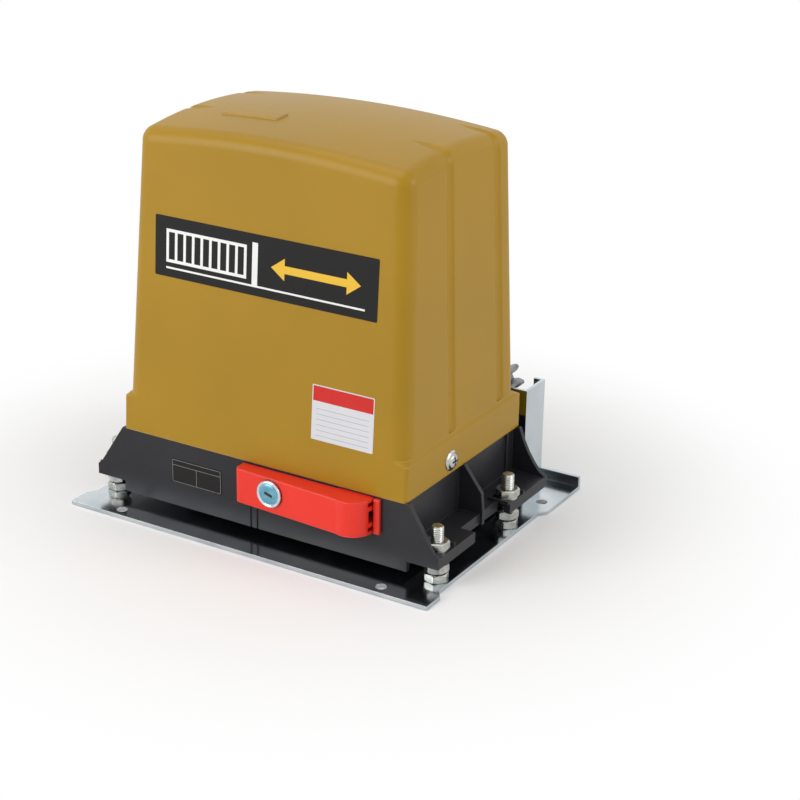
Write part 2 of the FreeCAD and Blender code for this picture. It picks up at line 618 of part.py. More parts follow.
# Pinion guard: folded sheet, open to the gate and above, screwed down on the plate.
guard_width = "(Sizes.guard_right - Sizes.guard_left)"
guard_depth = "(Sizes.guard_rear - Sizes.guard_front)"
guard_height = "(Sizes.guard_top - Sizes.plate_thick)"
guard_solids = [
    box("guard_front_wall", ("Sizes.guard_left", "Sizes.guard_front", "Sizes.plate_thick"),
        (guard_width, "Sizes.guard_sheet", guard_height)),
    box("guard_floor", ("Sizes.guard_left", "Sizes.guard_front", "Sizes.plate_thick"),
        (guard_width, guard_depth, "Sizes.guard_sheet")),
    box("guard_right_wall", ("Sizes.guard_right - Sizes.guard_sheet", "Sizes.guard_front",
                             "Sizes.plate_thick"),
        ("Sizes.guard_sheet", guard_depth, guard_height)),
    box("guard_left_wall", ("Sizes.guard_left", "Sizes.guard_front", "Sizes.plate_thick"),
        ("Sizes.guard_sheet", guard_depth, guard_height)),
    box("guard_right_return", ("Sizes.guard_right - Sizes.guard_return",
                               "Sizes.guard_rear - Sizes.guard_sheet",
                               "Sizes.guard_top - 46"), ("Sizes.guard_return", "Sizes.guard_sheet", 46)),
    box("guard_left_return", ("Sizes.guard_left", "Sizes.guard_rear - Sizes.guard_sheet",
                              "Sizes.guard_top - 46"),
        ("Sizes.guard_return", "Sizes.guard_sheet", 46)),
]
guard_tools = [rod("guard_shaft_hole", "Sizes.shaft_radius + 5.5", 10,
                   ("Sizes.shaft_x", "Sizes.guard_front - 3", "Sizes.shaft_z"), "Y")]
guard_screw_x = (size("guard_left") + 14, size("guard_right") - 14)
guard_screw_y = (size("guard_front") + size("guard_rear")) / 2
guard_screws = []
for index, x in enumerate(guard_screw_x):
    guard_tools.append(rod("guard_screw_hole_%d" % index, 3, 12, (x, guard_screw_y, 0)))
    head = hexagon("guard_head_%d" % index, 10 / 2 / math.cos(math.pi / 6), 4,
                   (x, guard_screw_y, "Sizes.plate_thick + Sizes.guard_sheet"))
    shank = rod("guard_shank_%d" % index, 3, "Sizes.guard_sheet",
                (x, guard_screw_y, "Sizes.plate_thick"))
    guard_screws.append(joined("guard_screw_%d" % index, [head, shank]))
keep("pinion_guard", carved("guard_cut", joined("guard_blank", guard_solids), guard_tools))
keep("guard_screws", grouped("guard_screw_set", guard_screws))

# Output shaft runs in two bearings, one in the housing boss and one in a block on the floor.
keep("rear_bearing", carved("rear_bearing_cut",
     rod("rear_bearing_disc", "Sizes.bearing_radius", "Sizes.bearing_width",
         ("Sizes.shaft_x", 70, "Sizes.shaft_z"), "Y"),
     [rod("rear_bearing_bore", "Sizes.shaft_radius + Sizes.running_gap", 20,
          ("Sizes.shaft_x", 65, "Sizes.shaft_z"), "Y")]))
block_front = -10.5
block_solids = [
    box("block_leg", ("Sizes.shaft_x - 24", block_front, "Sizes.housing_bottom + Sizes.housing_wall"),
        (48, "Sizes.bearing_width + 2", "Sizes.shaft_z - Sizes.housing_bottom - Sizes.housing_wall")),
    rod("block_round", 24, "Sizes.bearing_width + 2", ("Sizes.shaft_x", block_front, "Sizes.shaft_z"), "Y"),
    box("block_foot", ("Sizes.shaft_x - 24", block_front - 10, "Sizes.housing_bottom + Sizes.housing_wall"),
        (48, "Sizes.bearing_width + 12", 6)),
]
block_tools = [
    rod("block_seat", "Sizes.bearing_radius", "Sizes.bearing_width",
        ("Sizes.shaft_x", block_front, "Sizes.shaft_z"), "Y"),
    rod("block_bore", "Sizes.shaft_radius + 2", 30, ("Sizes.shaft_x", -20, "Sizes.shaft_z"), "Y"),
    rod("block_rod_hole", "Sizes.rod_radius + Sizes.running_gap", 30,
        ("Sizes.shaft_x", -20, "Sizes.rod_z"), "Y"),
]
keep("front_bearing_block", carved("block_cut", joined("block_blank", block_solids), block_tools))
keep("front_bearing", carved("front_bearing_cut",
     rod("front_bearing_disc", "Sizes.bearing_radius", "Sizes.bearing_width",
         ("Sizes.shaft_x", block_front, "Sizes.shaft_z"), "Y"),
     [rod("front_bearing_bore", "Sizes.shaft_radius + Sizes.running_gap", 30,
          ("Sizes.shaft_x", -20, "Sizes.shaft_z"), "Y")]))
keep("output_shaft", rod("shaft_bar", "Sizes.shaft_radius", "Sizes.shaft_rear - Sizes.shaft_front",
                         ("Sizes.shaft_x", "Sizes.shaft_front", "Sizes.shaft_z"), "Y"))
keep("shaft_spacer", carved("spacer_cut",
     rod("spacer_bar", "Sizes.shaft_radius + 4", "Sizes.pinion_front - 80.05",
         ("Sizes.shaft_x", 80.05, "Sizes.shaft_z"), "Y"),
     [rod("spacer_bore", "Sizes.shaft_radius", 40, ("Sizes.shaft_x", 70, "Sizes.shaft_z"), "Y")]))


def involute_outline(module, teeth, phase, x_centre, z_centre, flank_steps=4):
    """Outline of a spur gear with involute flanks of 20 degrees, as points in the X-Z plane."""
    pressure = math.radians(20)
    pitch = module * teeth / 2
    base = pitch * math.cos(pressure)
    tip = pitch + module
    root = pitch - 1.25 * module
    half_pitch = math.pi / (2 * teeth) - 0.02 * module / pitch
    lean = math.tan(pressure) - pressure
    points = []
    for tooth in range(teeth):
        centre = math.radians(phase) + 2 * math.pi * tooth / teeth
        flank = []
        for step in range(flank_steps + 1):
            radius = base + (tip - base) * step / flank_steps
            roll = math.acos(min(1, base / radius))
            flank.append((radius, half_pitch + lean - (math.tan(roll) - roll)))
        foot_angle = flank[0][1]
        spaced = [(root, -foot_angle)] + [(r, -a) for r, a in flank] + [(r, a) for r,
                a in reversed(flank)] + [(root, foot_angle)]
        for radius, angle in spaced:
            points.append((x_centre + radius * math.cos(centre + angle),
                           z_centre + radius * math.sin(centre + angle)))
    return points


# Drive pinion: straight teeth that carry the gate's rack, clamped on the shaft end.
pinion_points = involute_outline(size("pinion_module"), int(size("pinion_teeth")), size("pinion_phase"),
                                 size("shaft_x"), size("shaft_z"))
pinion_teeth = extruded("pinion_teeth", "XZ_Plane", pinion_points,
                        -(size("pinion_front") + size("pinion_width")), "Sizes.pinion_width")
keep("drive_pinion", carved("pinion_cut", pinion_teeth,
     [rod("pinion_bore", "Sizes.shaft_radius", 60, ("Sizes.shaft_x", 80, "Sizes.shaft_z"), "Y")]))
pinion_rear = size("pinion_front") + size("pinion_width")
keep("pinion_washer", rod("washer_plate", 13, 2.5, ("Sizes.shaft_x", pinion_rear, "Sizes.shaft_z"), "Y"))
keep("pinion_bolt", hexagon("bolt_head", "Sizes.nut_across / 2 / cos(30)", 5.3,
                            ("Sizes.shaft_x", pinion_rear + 2.5, "Sizes.shaft_z"), "Y"))

# Worm wheel: bronze, free on the shaft until the dog clutch takes hold of its hub.
wheel_pitch = size("stage_module") * size("wheel_teeth") / 2
wheel_tip = wheel_pitch + size("stage_module") - 0.2
wheel_root = wheel_pitch - size("stage_module") - 0.5
tooth_share = math.pi * size("stage_module") / 2
relief = size("thread_relief")
flank_slope = math.tan(math.radians(20))
wheel_points = []
for tooth in range(int(size("wheel_teeth"))):
    centre = 2 * math.pi * tooth / size("wheel_teeth")
    for radius, sign in ((wheel_root, -1), (wheel_tip, -1), (wheel_tip, 1), (wheel_root, 1)):
        half = (tooth_share - 2 * relief) / 2 - (radius - wheel_pitch) * flank_slope
        angle = centre + sign * half / radius
        wheel_points.append((size("shaft_x") + radius * math.cos(angle),
                             size("shaft_z") + radius * math.sin(angle)))
wheel_front = size("wheel_mid_y") - size("wheel_width") / 2
wheel_rim = extruded("wheel_rim", "XZ_Plane", wheel_points, -(wheel_front + size("wheel_width")),
                     "Sizes.wheel_width")
hub_front = 25.0
hub_rear = 41.0
wheel_hub = rod("wheel_hub", "Sizes.wheel_hub_radius", hub_rear - hub_front,
                ("Sizes.shaft_x", hub_front, "Sizes.shaft_z"), "Y")


def dog_teeth(name, start_y, length, first_angle):
    """Three sector dogs on a ring face."""
    dogs = []
    inner = size("shaft_radius") + 1.5
    outer = size("wheel_hub_radius")
    half = math.radians(size("dog_angle")) / 2
    for index in range(3):
        centre = math.radians(first_angle + 120 * index)
        points = [(size("shaft_x") + r * math.cos(centre + a), size("shaft_z") + r * math.sin(centre + a))
                  for r, a in ((inner, -half), (outer, -half), (outer, 0), (outer, half), (inner, half),
                               (inner, 0))]
        dogs.append(extruded("%s_%d" % (name, index), "XZ_Plane", points, -(start_y + length), length))
    return dogs


wheel_dogs = dog_teeth("wheel_dog", hub_front - size("dog_length"), size("dog_length") + 0.5, 0)
keep("worm_wheel", carved("wheel_cut", joined("wheel_blank", [wheel_rim, wheel_hub] + wheel_dogs),
     [rod("wheel_bore", "Sizes.shaft_radius + 2", 60, ("Sizes.shaft_x", 10, "Sizes.shaft_z"), "Y")]))
keep("wheel_bush", carved("bush_cut",
     rod("bush_bar", "Sizes.shaft_radius + 2", hub_rear - hub_front,
         ("Sizes.shaft_x", hub_front, "Sizes.shaft_z"), "Y"),
     [rod("bush_bore", "Sizes.shaft_radius", 60, ("Sizes.shaft_x", 10, "Sizes.shaft_z"), "Y")]))

# Dog clutch: slides on a key of the shaft, moved by a fork in its groove.
clutch_front = size("clutch_front")
clutch_blank = rod("clutch_blank", "Sizes.clutch_radius", "Sizes.clutch_rear - Sizes.clutch_front",
                   ("Sizes.shaft_x", "Sizes.clutch_front", "Sizes.shaft_z"), "Y")
groove_ring = carved("groove_ring",
                     rod("groove_outer", "Sizes.clutch_radius + 1", "Sizes.groove_width",
                         ("Sizes.shaft_x", "Sizes.groove_front", "Sizes.shaft_z"), "Y"),
                     [rod("groove_inner", "Sizes.groove_radius", 10,
                          ("Sizes.shaft_x", "Sizes.groove_front - 2", "Sizes.shaft_z"), "Y")])
key_slot = box("key_slot", ("Sizes.shaft_x - Sizes.key_width / 2 - 0.15", 0, "Sizes.shaft_z"),
               ("Sizes.key_width + 0.3", 30, "Sizes.shaft_radius + 2.2"))
clutch_dogs = dog_teeth("clutch_dog", size("clutch_rear") - 0.5, size("dog_length") + 0.5, 60)
keep("dog_clutch", carved("clutch_cut", joined("clutch_solid", [clutch_blank] + clutch_dogs),
     [groove_ring, key_slot,
      rod("clutch_bore", "Sizes.shaft_radius + Sizes.running_gap", 60,
          ("Sizes.shaft_x", -10, "Sizes.shaft_z"), "Y")]))
key_block = box("key_block", ("Sizes.shaft_x - Sizes.key_width / 2", 1.8,
                              "Sizes.shaft_z + Sizes.shaft_radius - 3"),
                ("Sizes.key_width", 18, 5))
keep("clutch_key", carved("key_cut", key_block,
     [rod("key_seat", "Sizes.shaft_radius", 60, ("Sizes.shaft_x", -10, "Sizes.shaft_z"), "Y")]))

# Release rod and fork: the cam of the handle holds the rod back, and the fork moves the clutch.
rod_tip = size("hinge_y") + size("cam_low") + size("release_travel") + size("cam_gap")
rod_solids = [
    rod("rod_bar", "Sizes.rod_radius", 18 - rod_tip - size("rod_radius"),
        ("Sizes.shaft_x", rod_tip + size("rod_radius"), "Sizes.rod_z"), "Y"),
]
tip_ball = doc.addObject("Part::Sphere", "tip_ball")
bind(tip_ball, "Radius", "Sizes.rod_radius")
place(tip_ball, ("Sizes.shaft_x", rod_tip + size("rod_radius"), "Sizes.rod_z"))
keep("release_rod", joined("rod_all", rod_solids + [tip_ball]))
fork_front = size("groove_front") + size("fork_gap")
fork_thick = size("groove_width") - 2 * size("fork_gap")
fork_plate = box("fork_plate", ("Sizes.shaft_x - 17.5", fork_front, "Sizes.rod_z + 2"),
                 (35, fork_thick, "Sizes.shaft_z - Sizes.rod_z - 2"))
fork_boss = rod("fork_boss", "Sizes.rod_radius + 4", 8, ("Sizes.shaft_x", 10, "Sizes.rod_z"), "Y")
fork_tools = [
    rod("fork_mouth", "Sizes.groove_radius + Sizes.fork_gap", 20, ("Sizes.shaft_x", 5, "Sizes.shaft_z"),
        "Y"),
    rod("fork_rod_hole", "Sizes.rod_radius", 40, ("Sizes.shaft_x", -5, "Sizes.rod_z"), "Y"),
]
keep("release_fork", carved("fork_cut", joined("fork_blank", [fork_plate, fork_boss]), fork_tools))

# Release handle: a lever moulded with its barrel, whose inner side carries the spiral cam.
hinge_y = size("hinge_y")
barrel = size("barrel_radius")
end_x = size("handle_end_x")
back_y = size("handle_back")
end_y = back_y - size("handle_end_depth")
lean_angle = math.radians(248)
lever_points = [
    (end_x, back_y), (end_x, end_y + 3), (end_x + 0.9, end_y + 0.9), (end_x + 3, end_y),
    (size("shaft_x") + barrel * math.cos(lean_angle), hinge_y + barrel * math.sin(lean_angle)),
    (size("shaft_x"), hinge_y), (size("shaft_x") - 8, back_y),
]
lever = extruded("lever", "XY_Plane", lever_points, size("handle_bottom"),
                 "Sizes.handle_top - Sizes.handle_bottom")
barrel_bar = rod("barrel_bar", "Sizes.barrel_radius", "Sizes.handle_top - Sizes.handle_bottom",
                 ("Sizes.shaft_x", "Sizes.hinge_y", "Sizes.handle_bottom"))
relief_edge = size("rod_radius") + 0.6
low = size("cam_low")
high = low + size("release_travel")
first = -math.degrees(math.asin(relief_edge / low))
last = 90 + math.degrees(math.asin(relief_edge / high))
spiral = []
steps = 24
for index in range(steps + 1):
    turn = first + (last - first) * index / steps
    share = min(1, max(0, turn / 90))
    radius = low + size("release_travel") * share
    spiral.append((size("shaft_x") + radius * math.cos(math.radians(turn)),
                   hinge_y + radius * math.sin(math.radians(turn))))
far = barrel + 9
cam_points = [(size("shaft_x") - relief_edge, hinge_y + far), (size("shaft_x") + far, hinge_y + far),
              (size("shaft_x") + far, hinge_y - relief_edge)] + spiral
cam_pocket = extruded("cam_pocket", "XY_Plane", cam_points, size("cam_bottom"),
                      "Sizes.cam_top - Sizes.cam_bottom")
handle_tools = [
    cam_pocket,
    rod("handle_pin_hole", "Sizes.pin_radius + Sizes.running_gap", 27,
        ("Sizes.shaft_x", "Sizes.hinge_y", 35)),
    rod("lock_face_recess", "Sizes.lock_head_radius + 0.4", 20, ("Sizes.lock_x", -131, "Sizes.lock_z"),
        "Y"),
    rod("lock_body_hole", "Sizes.lock_body_radius", 60, ("Sizes.lock_x", -140, "Sizes.lock_z"), "Y"),
    box("lever_hollow_right", (size("lock_x") + 14, back_y - 6, size("handle_bottom") + 3),
        (34, 10, size("handle_top") - size("handle_bottom") - 6)),
    box("lever_hollow_left", (end_x + 3, back_y - 6, size("handle_bottom") + 3),
        (14, 10, size("handle_top") - size("handle_bottom") - 6)),
]
for index, level in enumerate(ear_levels):
    handle_tools.append(box("ear_slot_%d" % index,
                            ("Sizes.shaft_x - 4.2", "Sizes.hinge_y - 4.2", level - 0.5),
                            (30, 30, ear_thick + 1)))
    handle_tools.append(rod("ear_slot_eye_%d" % index, "Sizes.pin_radius + 2.8", ear_thick + 1,
                            ("Sizes.shaft_x", "Sizes.hinge_y", level - 0.5)))
keep("release_handle", carved("handle_cut", joined("handle_blank", [lever, barrel_bar]), handle_tools))
keep("hinge_pin", rod("pin_bar", "Sizes.pin_radius", 25.8, ("Sizes.shaft_x", "Sizes.hinge_y", 35.8)))
keep("hinge_strip", box("strip_bar", ("Sizes.shaft_x + Sizes.barrel_radius + 1",
                                      "Sizes.housing_front - 3", "Sizes.handle_bottom"),
                        (5, 3, "Sizes.handle_top - Sizes.handle_bottom")))

# Cam lock of the handle: chromed barrel, turning plug and the tongue behind the housing wall.
lock_face = -114.2
head_ring = rod("lock_head", "Sizes.lock_head_radius", 3.2, ("Sizes.lock_x", lock_face, "Sizes.lock_z"),
                "Y")
lock_tube = rod("lock_tube", "Sizes.lock_body_radius", 22, ("Sizes.lock_x", lock_face, "Sizes.lock_z"), "Y")
keep("lock_barrel", carved("lock_barrel_cut", joined("lock_barrel_blank", [head_ring, lock_tube]),
     [rod("lock_bore", "Sizes.plug_radius - 1", 60, ("Sizes.lock_x", -140, "Sizes.lock_z"), "Y")]))
plug_bar = rod("plug_bar", "Sizes.plug_radius - 1 - Sizes.running_gap", 22.4,
               ("Sizes.lock_x", lock_face + 0.2, "Sizes.lock_z"), "Y")
key_way = box("key_way", ("Sizes.lock_x - 3.6", lock_face - 1, "Sizes.lock_z - 0.6"), (7.2, 6, 1.2))
keep("lock_plug", carved("plug_cut", plug_bar, [key_way]))
keep("lock_tongue", box("tongue_bar", ("Sizes.lock_x - 13", lock_face + 22.6, "Sizes.lock_z - 4"),
                        (18, 2.6, 8)))

# Gear case: cast body round the wheel and the upright worm, on a leg from the floor.
worm_x = size("shaft_x") - wheel_pitch - size("worm_pitch_radius")
worm_y = size("wheel_mid_y")
floor_z = size("housing_bottom") + size("housing_wall")
case_top = size("case_top")
cavity = wheel_tip + 1
case_round = cavity + size("case_wall")
worm_bore = size("worm_pitch_radius") + 3
case_solids = [
    rod("case_drum", case_round, 18, ("Sizes.shaft_x", 28, "Sizes.shaft_z"), "Y"),
    box("case_tower", (worm_x - 16, worm_y - 17, 56), (32, 34, case_top - 56)),
    box("case_leg", (worm_x - 16, worm_y - 15, floor_z), (32, 30, 46)),
    rod("case_head", 24, 6, (worm_x, worm_y, case_top - 6)),
]
case_seats = [
    rod("case_cover_seat", case_round + 0.1, 14, ("Sizes.shaft_x", 14, "Sizes.shaft_z"), "Y"),
    rod("case_shaft_hole", "Sizes.shaft_radius + 0.5", 60, ("Sizes.shaft_x", 14, "Sizes.shaft_z"), "Y"),
    rod("case_worm_foot", 5 + size("running_gap"), 10, (worm_x, worm_y, 57)),
]
case_hollows = [
    rod("case_cavity", cavity, 26.3, ("Sizes.shaft_x", 15, "Sizes.shaft_z"), "Y"),
    rod("case_worm_bore", worm_bore, case_top - 62.5, (worm_x, worm_y, 62.5)),
]
case_bored = carved("case_bored", joined("case_blank", case_solids), case_seats)
keep("gear_case", carved("case_cut", case_bored, case_hollows))
cover_plate = rod("case_cover_disc", case_round, 7.5, ("Sizes.shaft_x", 20.5, "Sizes.shaft_z"), "Y")
keep("case_cover", carved("case_cover_cut", cover_plate,
     [rod("case_cover_hole", "Sizes.wheel_hub_radius + 0.6", 60, ("Sizes.shaft_x", 0, "Sizes.shaft_z"),
          "Y"),
      rod("case_cover_worm", worm_bore, 200, (worm_x, worm_y, 0))]))
case_screws = []
for index, turn in enumerate((40, -40, -90, 90)):
    x = size("shaft_x") + (cavity + size("case_wall") / 2) * math.cos(math.radians(turn))
    z = size("shaft_z") + (cavity + size("case_wall") / 2) * math.sin(math.radians(turn))
    case_screws.append(rod("case_screw_%d" % index, 2, 2, (x, 18.5, z), "Y"))
keep("case_screws", grouped("case_screw_set", case_screws))

# Worm: single-start thread on the motor's upright shaft.
lead = math.pi * size("stage_module")
worm_root = size("worm_pitch_radius") - size("stage_module") - 0.2
worm_tip = size("worm_pitch_radius") + size("stage_module") - 0.2
thread_turns = 5
thread_start = size("shaft_z") - lead * thread_turns / 2
worm_body = doc.addObject("PartDesign::Body", "worm_body")
core_sketch = sketch_on(worm_body, "worm_core_outline", "XY_Plane", thread_start - 2.4)
core_sketch.addGeometry(Part.Circle(Vector(0, 0, 0), Vector(0, 0, 1), worm_root))
core_pad = worm_body.newObject("PartDesign::Pad", "worm_core")
core_pad.Profile = core_sketch
core_pad.Length = lead * thread_turns + 4.8
thread_sketch = sketch_on(worm_body, "thread_profile", "XZ_Plane")
thread_points = []
for radius, sign in ((worm_root - 0.4, -1), (worm_tip, -1), (worm_tip, 1), (worm_root - 0.4, 1)):
    half = (tooth_share - 2 * relief) / 2 - (radius - size("worm_pitch_radius")) * flank_slope
    thread_points.append((radius, thread_start + sign * half))
draw_loop(thread_sketch, thread_points)
helix = worm_body.newObject("PartDesign::AdditiveHelix", "worm_thread")
helix.Profile = thread_sketch
helix.ReferenceAxis = (thread_sketch, ["V_Axis"])
helix.Mode = 0
helix.Pitch = lead
helix.Height = lead * thread_turns
helix.LeftHanded = False
helix.Reversed = False
worm_body.Placement = Placement(Vector(worm_x, worm_y, 0), Rotation())
journals = [
    rod("worm_lower", 5, 12, (worm_x, worm_y, 57.5)),
    rod("worm_upper", 5, 128, (worm_x, worm_y, 99)),
]
keep("worm_shaft", joined("worm_all", [worm_body] + journals))

# Motor: flange, steel can with two magnets, wound core on the worm shaft and an end cap with a bush.
can_low = size("motor_bottom")
can_high = can_low + size("motor_length")
keep("motor_flange", carved("flange_cut", rod("flange_disc", "Sizes.motor_radius", can_low - case_top,
                                              (worm_x, worm_y, case_top)),
     [rod("flange_bore", 5 + size("running_gap"), 60, (worm_x, worm_y, 90))]))
keep("motor_can", carved("can_cut", rod("can_tube", "Sizes.motor_radius", "Sizes.motor_length",
                                        (worm_x, worm_y, can_low)),
     [rod("can_bore", "Sizes.motor_radius - Sizes.motor_wall", 200, (worm_x, worm_y, can_low - 20))]))
magnet_ring = carved("magnet_ring", rod("magnet_outer", "Sizes.motor_radius - Sizes.motor_wall", 64,
                                        (worm_x, worm_y, can_low + 10)),
                     [rod("magnet_inner", "Sizes.motor_radius - Sizes.motor_wall - 6", 100,
                          (worm_x, worm_y, can_low)),
                      box("magnet_gap", (worm_x - 6, worm_y - 40, can_low), (12, 80, 100))])
keep("motor_magnets", magnet_ring)
keep("rotor_core", carved("core_cut", rod("core_bar", 20, 60, (worm_x, worm_y, can_low + 12)),
     [rod("core_bore", 5, 100, (worm_x, worm_y, can_low))]))
keep("motor_end_cap", carved("cap_cut", rod("cap_disc", "Sizes.motor_radius", 10,
                                            (worm_x, worm_y, can_high)),
     [rod("cap_bore", 5 + size("running_gap"), 40, (worm_x, worm_y, can_high - 34))]))

# Battery on a pad, held to the housing floor by a strap over its top.
battery_z = floor_z + size("pad_thick")
battery_left = size("housing_wall") + size("battery_gap") - size("housing_half_x")
keep("battery_pad", box("pad_sheet", (battery_left, "Sizes.battery_front", floor_z),
                        ("Sizes.battery_width", "Sizes.battery_depth", "Sizes.pad_thick")))
battery_case = box("battery_case", (battery_left, "Sizes.battery_front", battery_z),
                   ("Sizes.battery_width", "Sizes.battery_depth", "Sizes.battery_height"))
posts = [box("battery_post_%d" % i, (battery_left + x, "Sizes.battery_front + 6",
                                     battery_z + size("battery_height")),
             (6, 5, 6)) for i, x in enumerate((8, 51))]
keep("battery", joined("battery_all", [battery_case] + posts))
strap_y = size("battery_front") + 70
strap = size("strap_thick")
strap_left = battery_left - strap
strap_high = battery_z + size("battery_height")
strap_bars = [
    box("strap_left", (strap_left, strap_y, floor_z),
        ("Sizes.strap_thick", "Sizes.strap_width", strap_high - floor_z + strap)),
    box("strap_right", (battery_left + size("battery_width"), strap_y, floor_z),
        ("Sizes.strap_thick", "Sizes.strap_width", strap_high - floor_z + strap)),
    box("strap_top", (strap_left, strap_y, strap_high),
        ("Sizes.battery_width + 2 * Sizes.strap_thick", "Sizes.strap_width", "Sizes.strap_thick")),
    box("strap_foot", (battery_left + size("battery_width"), strap_y, floor_z),
        (14, "Sizes.strap_width", "Sizes.strap_thick")),
]
keep("battery_strap", joined("strap_all", strap_bars))

# Control board stands on a folded bracket in front of the motor.
bracket_bars = [
    box("bracket_upright", ("Sizes.board_left", "Sizes.bracket_y", floor_z),
        ("Sizes.board_width", "Sizes.bracket_sheet",
         "Sizes.board_bottom + Sizes.board_height - %g" % floor_z)),
    box("bracket_foot", ("Sizes.board_left", "Sizes.bracket_y", floor_z),
        ("Sizes.board_width", 16, "Sizes.bracket_sheet")),
]
keep("board_bracket", joined("bracket_all", bracket_bars))
board_y = size("bracket_y") - size("spacer_length") - size("board_thick")
keep("control_board", box("board_sheet", ("Sizes.board_left", board_y, "Sizes.board_bottom"),
                          ("Sizes.board_width", "Sizes.board_thick", "Sizes.board_height")))
spacers = []
for index, (dx, dz) in enumerate(((6, 6), (102, 6), (6, 144), (102, 144))):
    spacers.append(rod("spacer_%d" % index, 3, "Sizes.spacer_length",
                       (size("board_left") + dx, size("bracket_y") - size("spacer_length"),
                        size("board_bottom") + dz), "Y"))
keep("board_spacers", grouped("spacer_set", spacers))


def on_board(name, dx, dz, width, height, depth):
    """A component standing on the front of the board."""
    return box(name, (size("board_left") + dx, board_y - depth, size("board_bottom") + dz),
               (width, depth, height))


keep("terminal_blocks", grouped("terminal_set", [on_board("terminal_a", 6, 4, 44, 9, 10),
                                                 on_board("terminal_b", 56, 4, 44, 9, 10)]))
keep("relays", grouped("relay_set", [on_board("relay_a", 14, 24, 15, 19, 15),
                                     on_board("relay_b", 36, 24, 15, 19, 15)]))
keep("capacitor", rod("capacitor_can", 8, 12, (size("board_left") + 78, board_y - 12,
                                               size("board_bottom") + 40), "Y"))
keep("processor", on_board("processor_chip", 40, 88, 22, 22, 3))
core_left = -34.0
core_front = -48.0
transformer_bars = [
    box("core_stack", (core_left, core_front + 12, floor_z), (60, 26, 50)),
    box("winding", (core_left + 13, core_front, floor_z + 10), (34, 50, 30)),
]
keep("transformer", joined("transformer_all", transformer_bars))

doc.recompute()
for item in doc.Objects:
    if "Invalid" in item.State or "Error" in item.State:
        raise RuntimeError("%s is in state %s" % (item.Name, item.State))
for label, item in made.items():
    shape = item.Shape
    if shape.isNull() or not shape.isValid() or not shape.Solids:
        raise RuntimeError("%s has no valid solid" % label)
    shape.exportStep("parts/%s.step" % label)
    print("%s: %d solids, %.0f mm3" % (label, len(shape.Solids), shape.Volume))
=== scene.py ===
import math

import bpy
from mathutils import Matrix, Vector


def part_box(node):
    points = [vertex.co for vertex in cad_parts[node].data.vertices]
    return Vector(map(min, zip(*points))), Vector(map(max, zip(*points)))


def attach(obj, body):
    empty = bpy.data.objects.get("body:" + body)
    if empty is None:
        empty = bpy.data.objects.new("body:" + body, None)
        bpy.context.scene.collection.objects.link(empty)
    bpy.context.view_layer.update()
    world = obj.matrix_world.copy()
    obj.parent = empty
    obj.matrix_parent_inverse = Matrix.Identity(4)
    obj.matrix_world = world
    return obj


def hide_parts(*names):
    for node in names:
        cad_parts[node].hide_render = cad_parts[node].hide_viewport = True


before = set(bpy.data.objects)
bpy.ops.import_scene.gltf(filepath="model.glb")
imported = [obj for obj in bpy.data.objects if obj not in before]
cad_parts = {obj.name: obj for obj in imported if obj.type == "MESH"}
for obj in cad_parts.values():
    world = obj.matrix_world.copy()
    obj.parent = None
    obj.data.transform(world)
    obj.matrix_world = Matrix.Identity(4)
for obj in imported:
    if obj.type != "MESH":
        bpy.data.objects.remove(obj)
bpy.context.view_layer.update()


# Base plate
# A steel sheet, zinc plated, that is bolted to the plinth and carries the whole motor.
# It is punched, its rear edge is turned up, and its rolled grain runs along its length.
def paint(red, green, blue):
    """A colour, each part from 0 to 255, turned into the even scale of the shader."""
    darkest, slope, offset, power = 0.04045, 12.92, 0.055, 2.4
    parts = []
    for value in (red / 255, green / 255, blue / 255):
        parts.append(value / slope if value <= darkest else ((value + offset) / (1 + offset)) ** power)
    return (*parts, 1.0)


def metal(name, tone, dark, gloss, drawn=(1, 1, 1), cloud=30.0, scratch=0.00002, soften=0.0004):
    """Bare or plated metal with clouds in its plating and fine marks along the way it was worked."""
    dark_below, pale_above = 0.32, 0.68
    smoother, rougher = 0.05, 0.07
    mark_scale = 900.0
    made = bpy.data.materials.new(name)
    made.use_nodes = True
    nodes = made.node_tree.nodes
    wire = made.node_tree.links.new
    shader = nodes["Principled BSDF"]
    shader.inputs["Metallic"].default_value = 1.0
    place = nodes.new("ShaderNodeTexCoord")
    clouds = nodes.new("ShaderNodeTexNoise")
    clouds.inputs["Scale"].default_value = cloud
    clouds.inputs["Detail"].default_value = 4.0
    wire(place.outputs["Object"], clouds.inputs["Vector"])
    colour = nodes.new("ShaderNodeValToRGB")
    colour.color_ramp.elements[0].position = dark_below
    colour.color_ramp.elements[0].color = dark
    colour.color_ramp.elements[1].position = pale_above
    colour.color_ramp.elements[1].color = tone
    wire(clouds.outputs["Fac"], colour.inputs["Fac"])
    wire(colour.outputs["Color"], shader.inputs["Base Color"])
    along = nodes.new("ShaderNodeMapping")
    along.inputs["Scale"].default_value = drawn
    wire(place.outputs["Object"], along.inputs["Vector"])
    marks = nodes.new("ShaderNodeTexNoise")
    marks.inputs["Scale"].default_value = mark_scale
    marks.inputs["Detail"].default_value = 3.0
    wire(along.outputs["Vector"], marks.inputs["Vector"])
    sheen = nodes.new("ShaderNodeMapRange")
    sheen.inputs["To Min"].default_value = gloss - smoother
    sheen.inputs["To Max"].default_value = gloss + rougher
    wire(marks.outputs["Fac"], sheen.inputs["Value"])
    wire(sheen.outputs["Result"], shader.inputs["Roughness"])
    edge = nodes.new("ShaderNodeBevel")
    edge.samples = 4
    edge.inputs["Radius"].default_value = soften
    dents = nodes.new("ShaderNodeBump")
    dents.inputs["Strength"].default_value = 0.5
    dents.inputs["Distance"].default_value = scratch
    wire(marks.outputs["Fac"], dents.inputs["Height"])
    wire(edge.outputs["Normal"], dents.inputs["Normal"])
    wire(dents.outputs["Normal"], shader.inputs["Normal"])
    return made


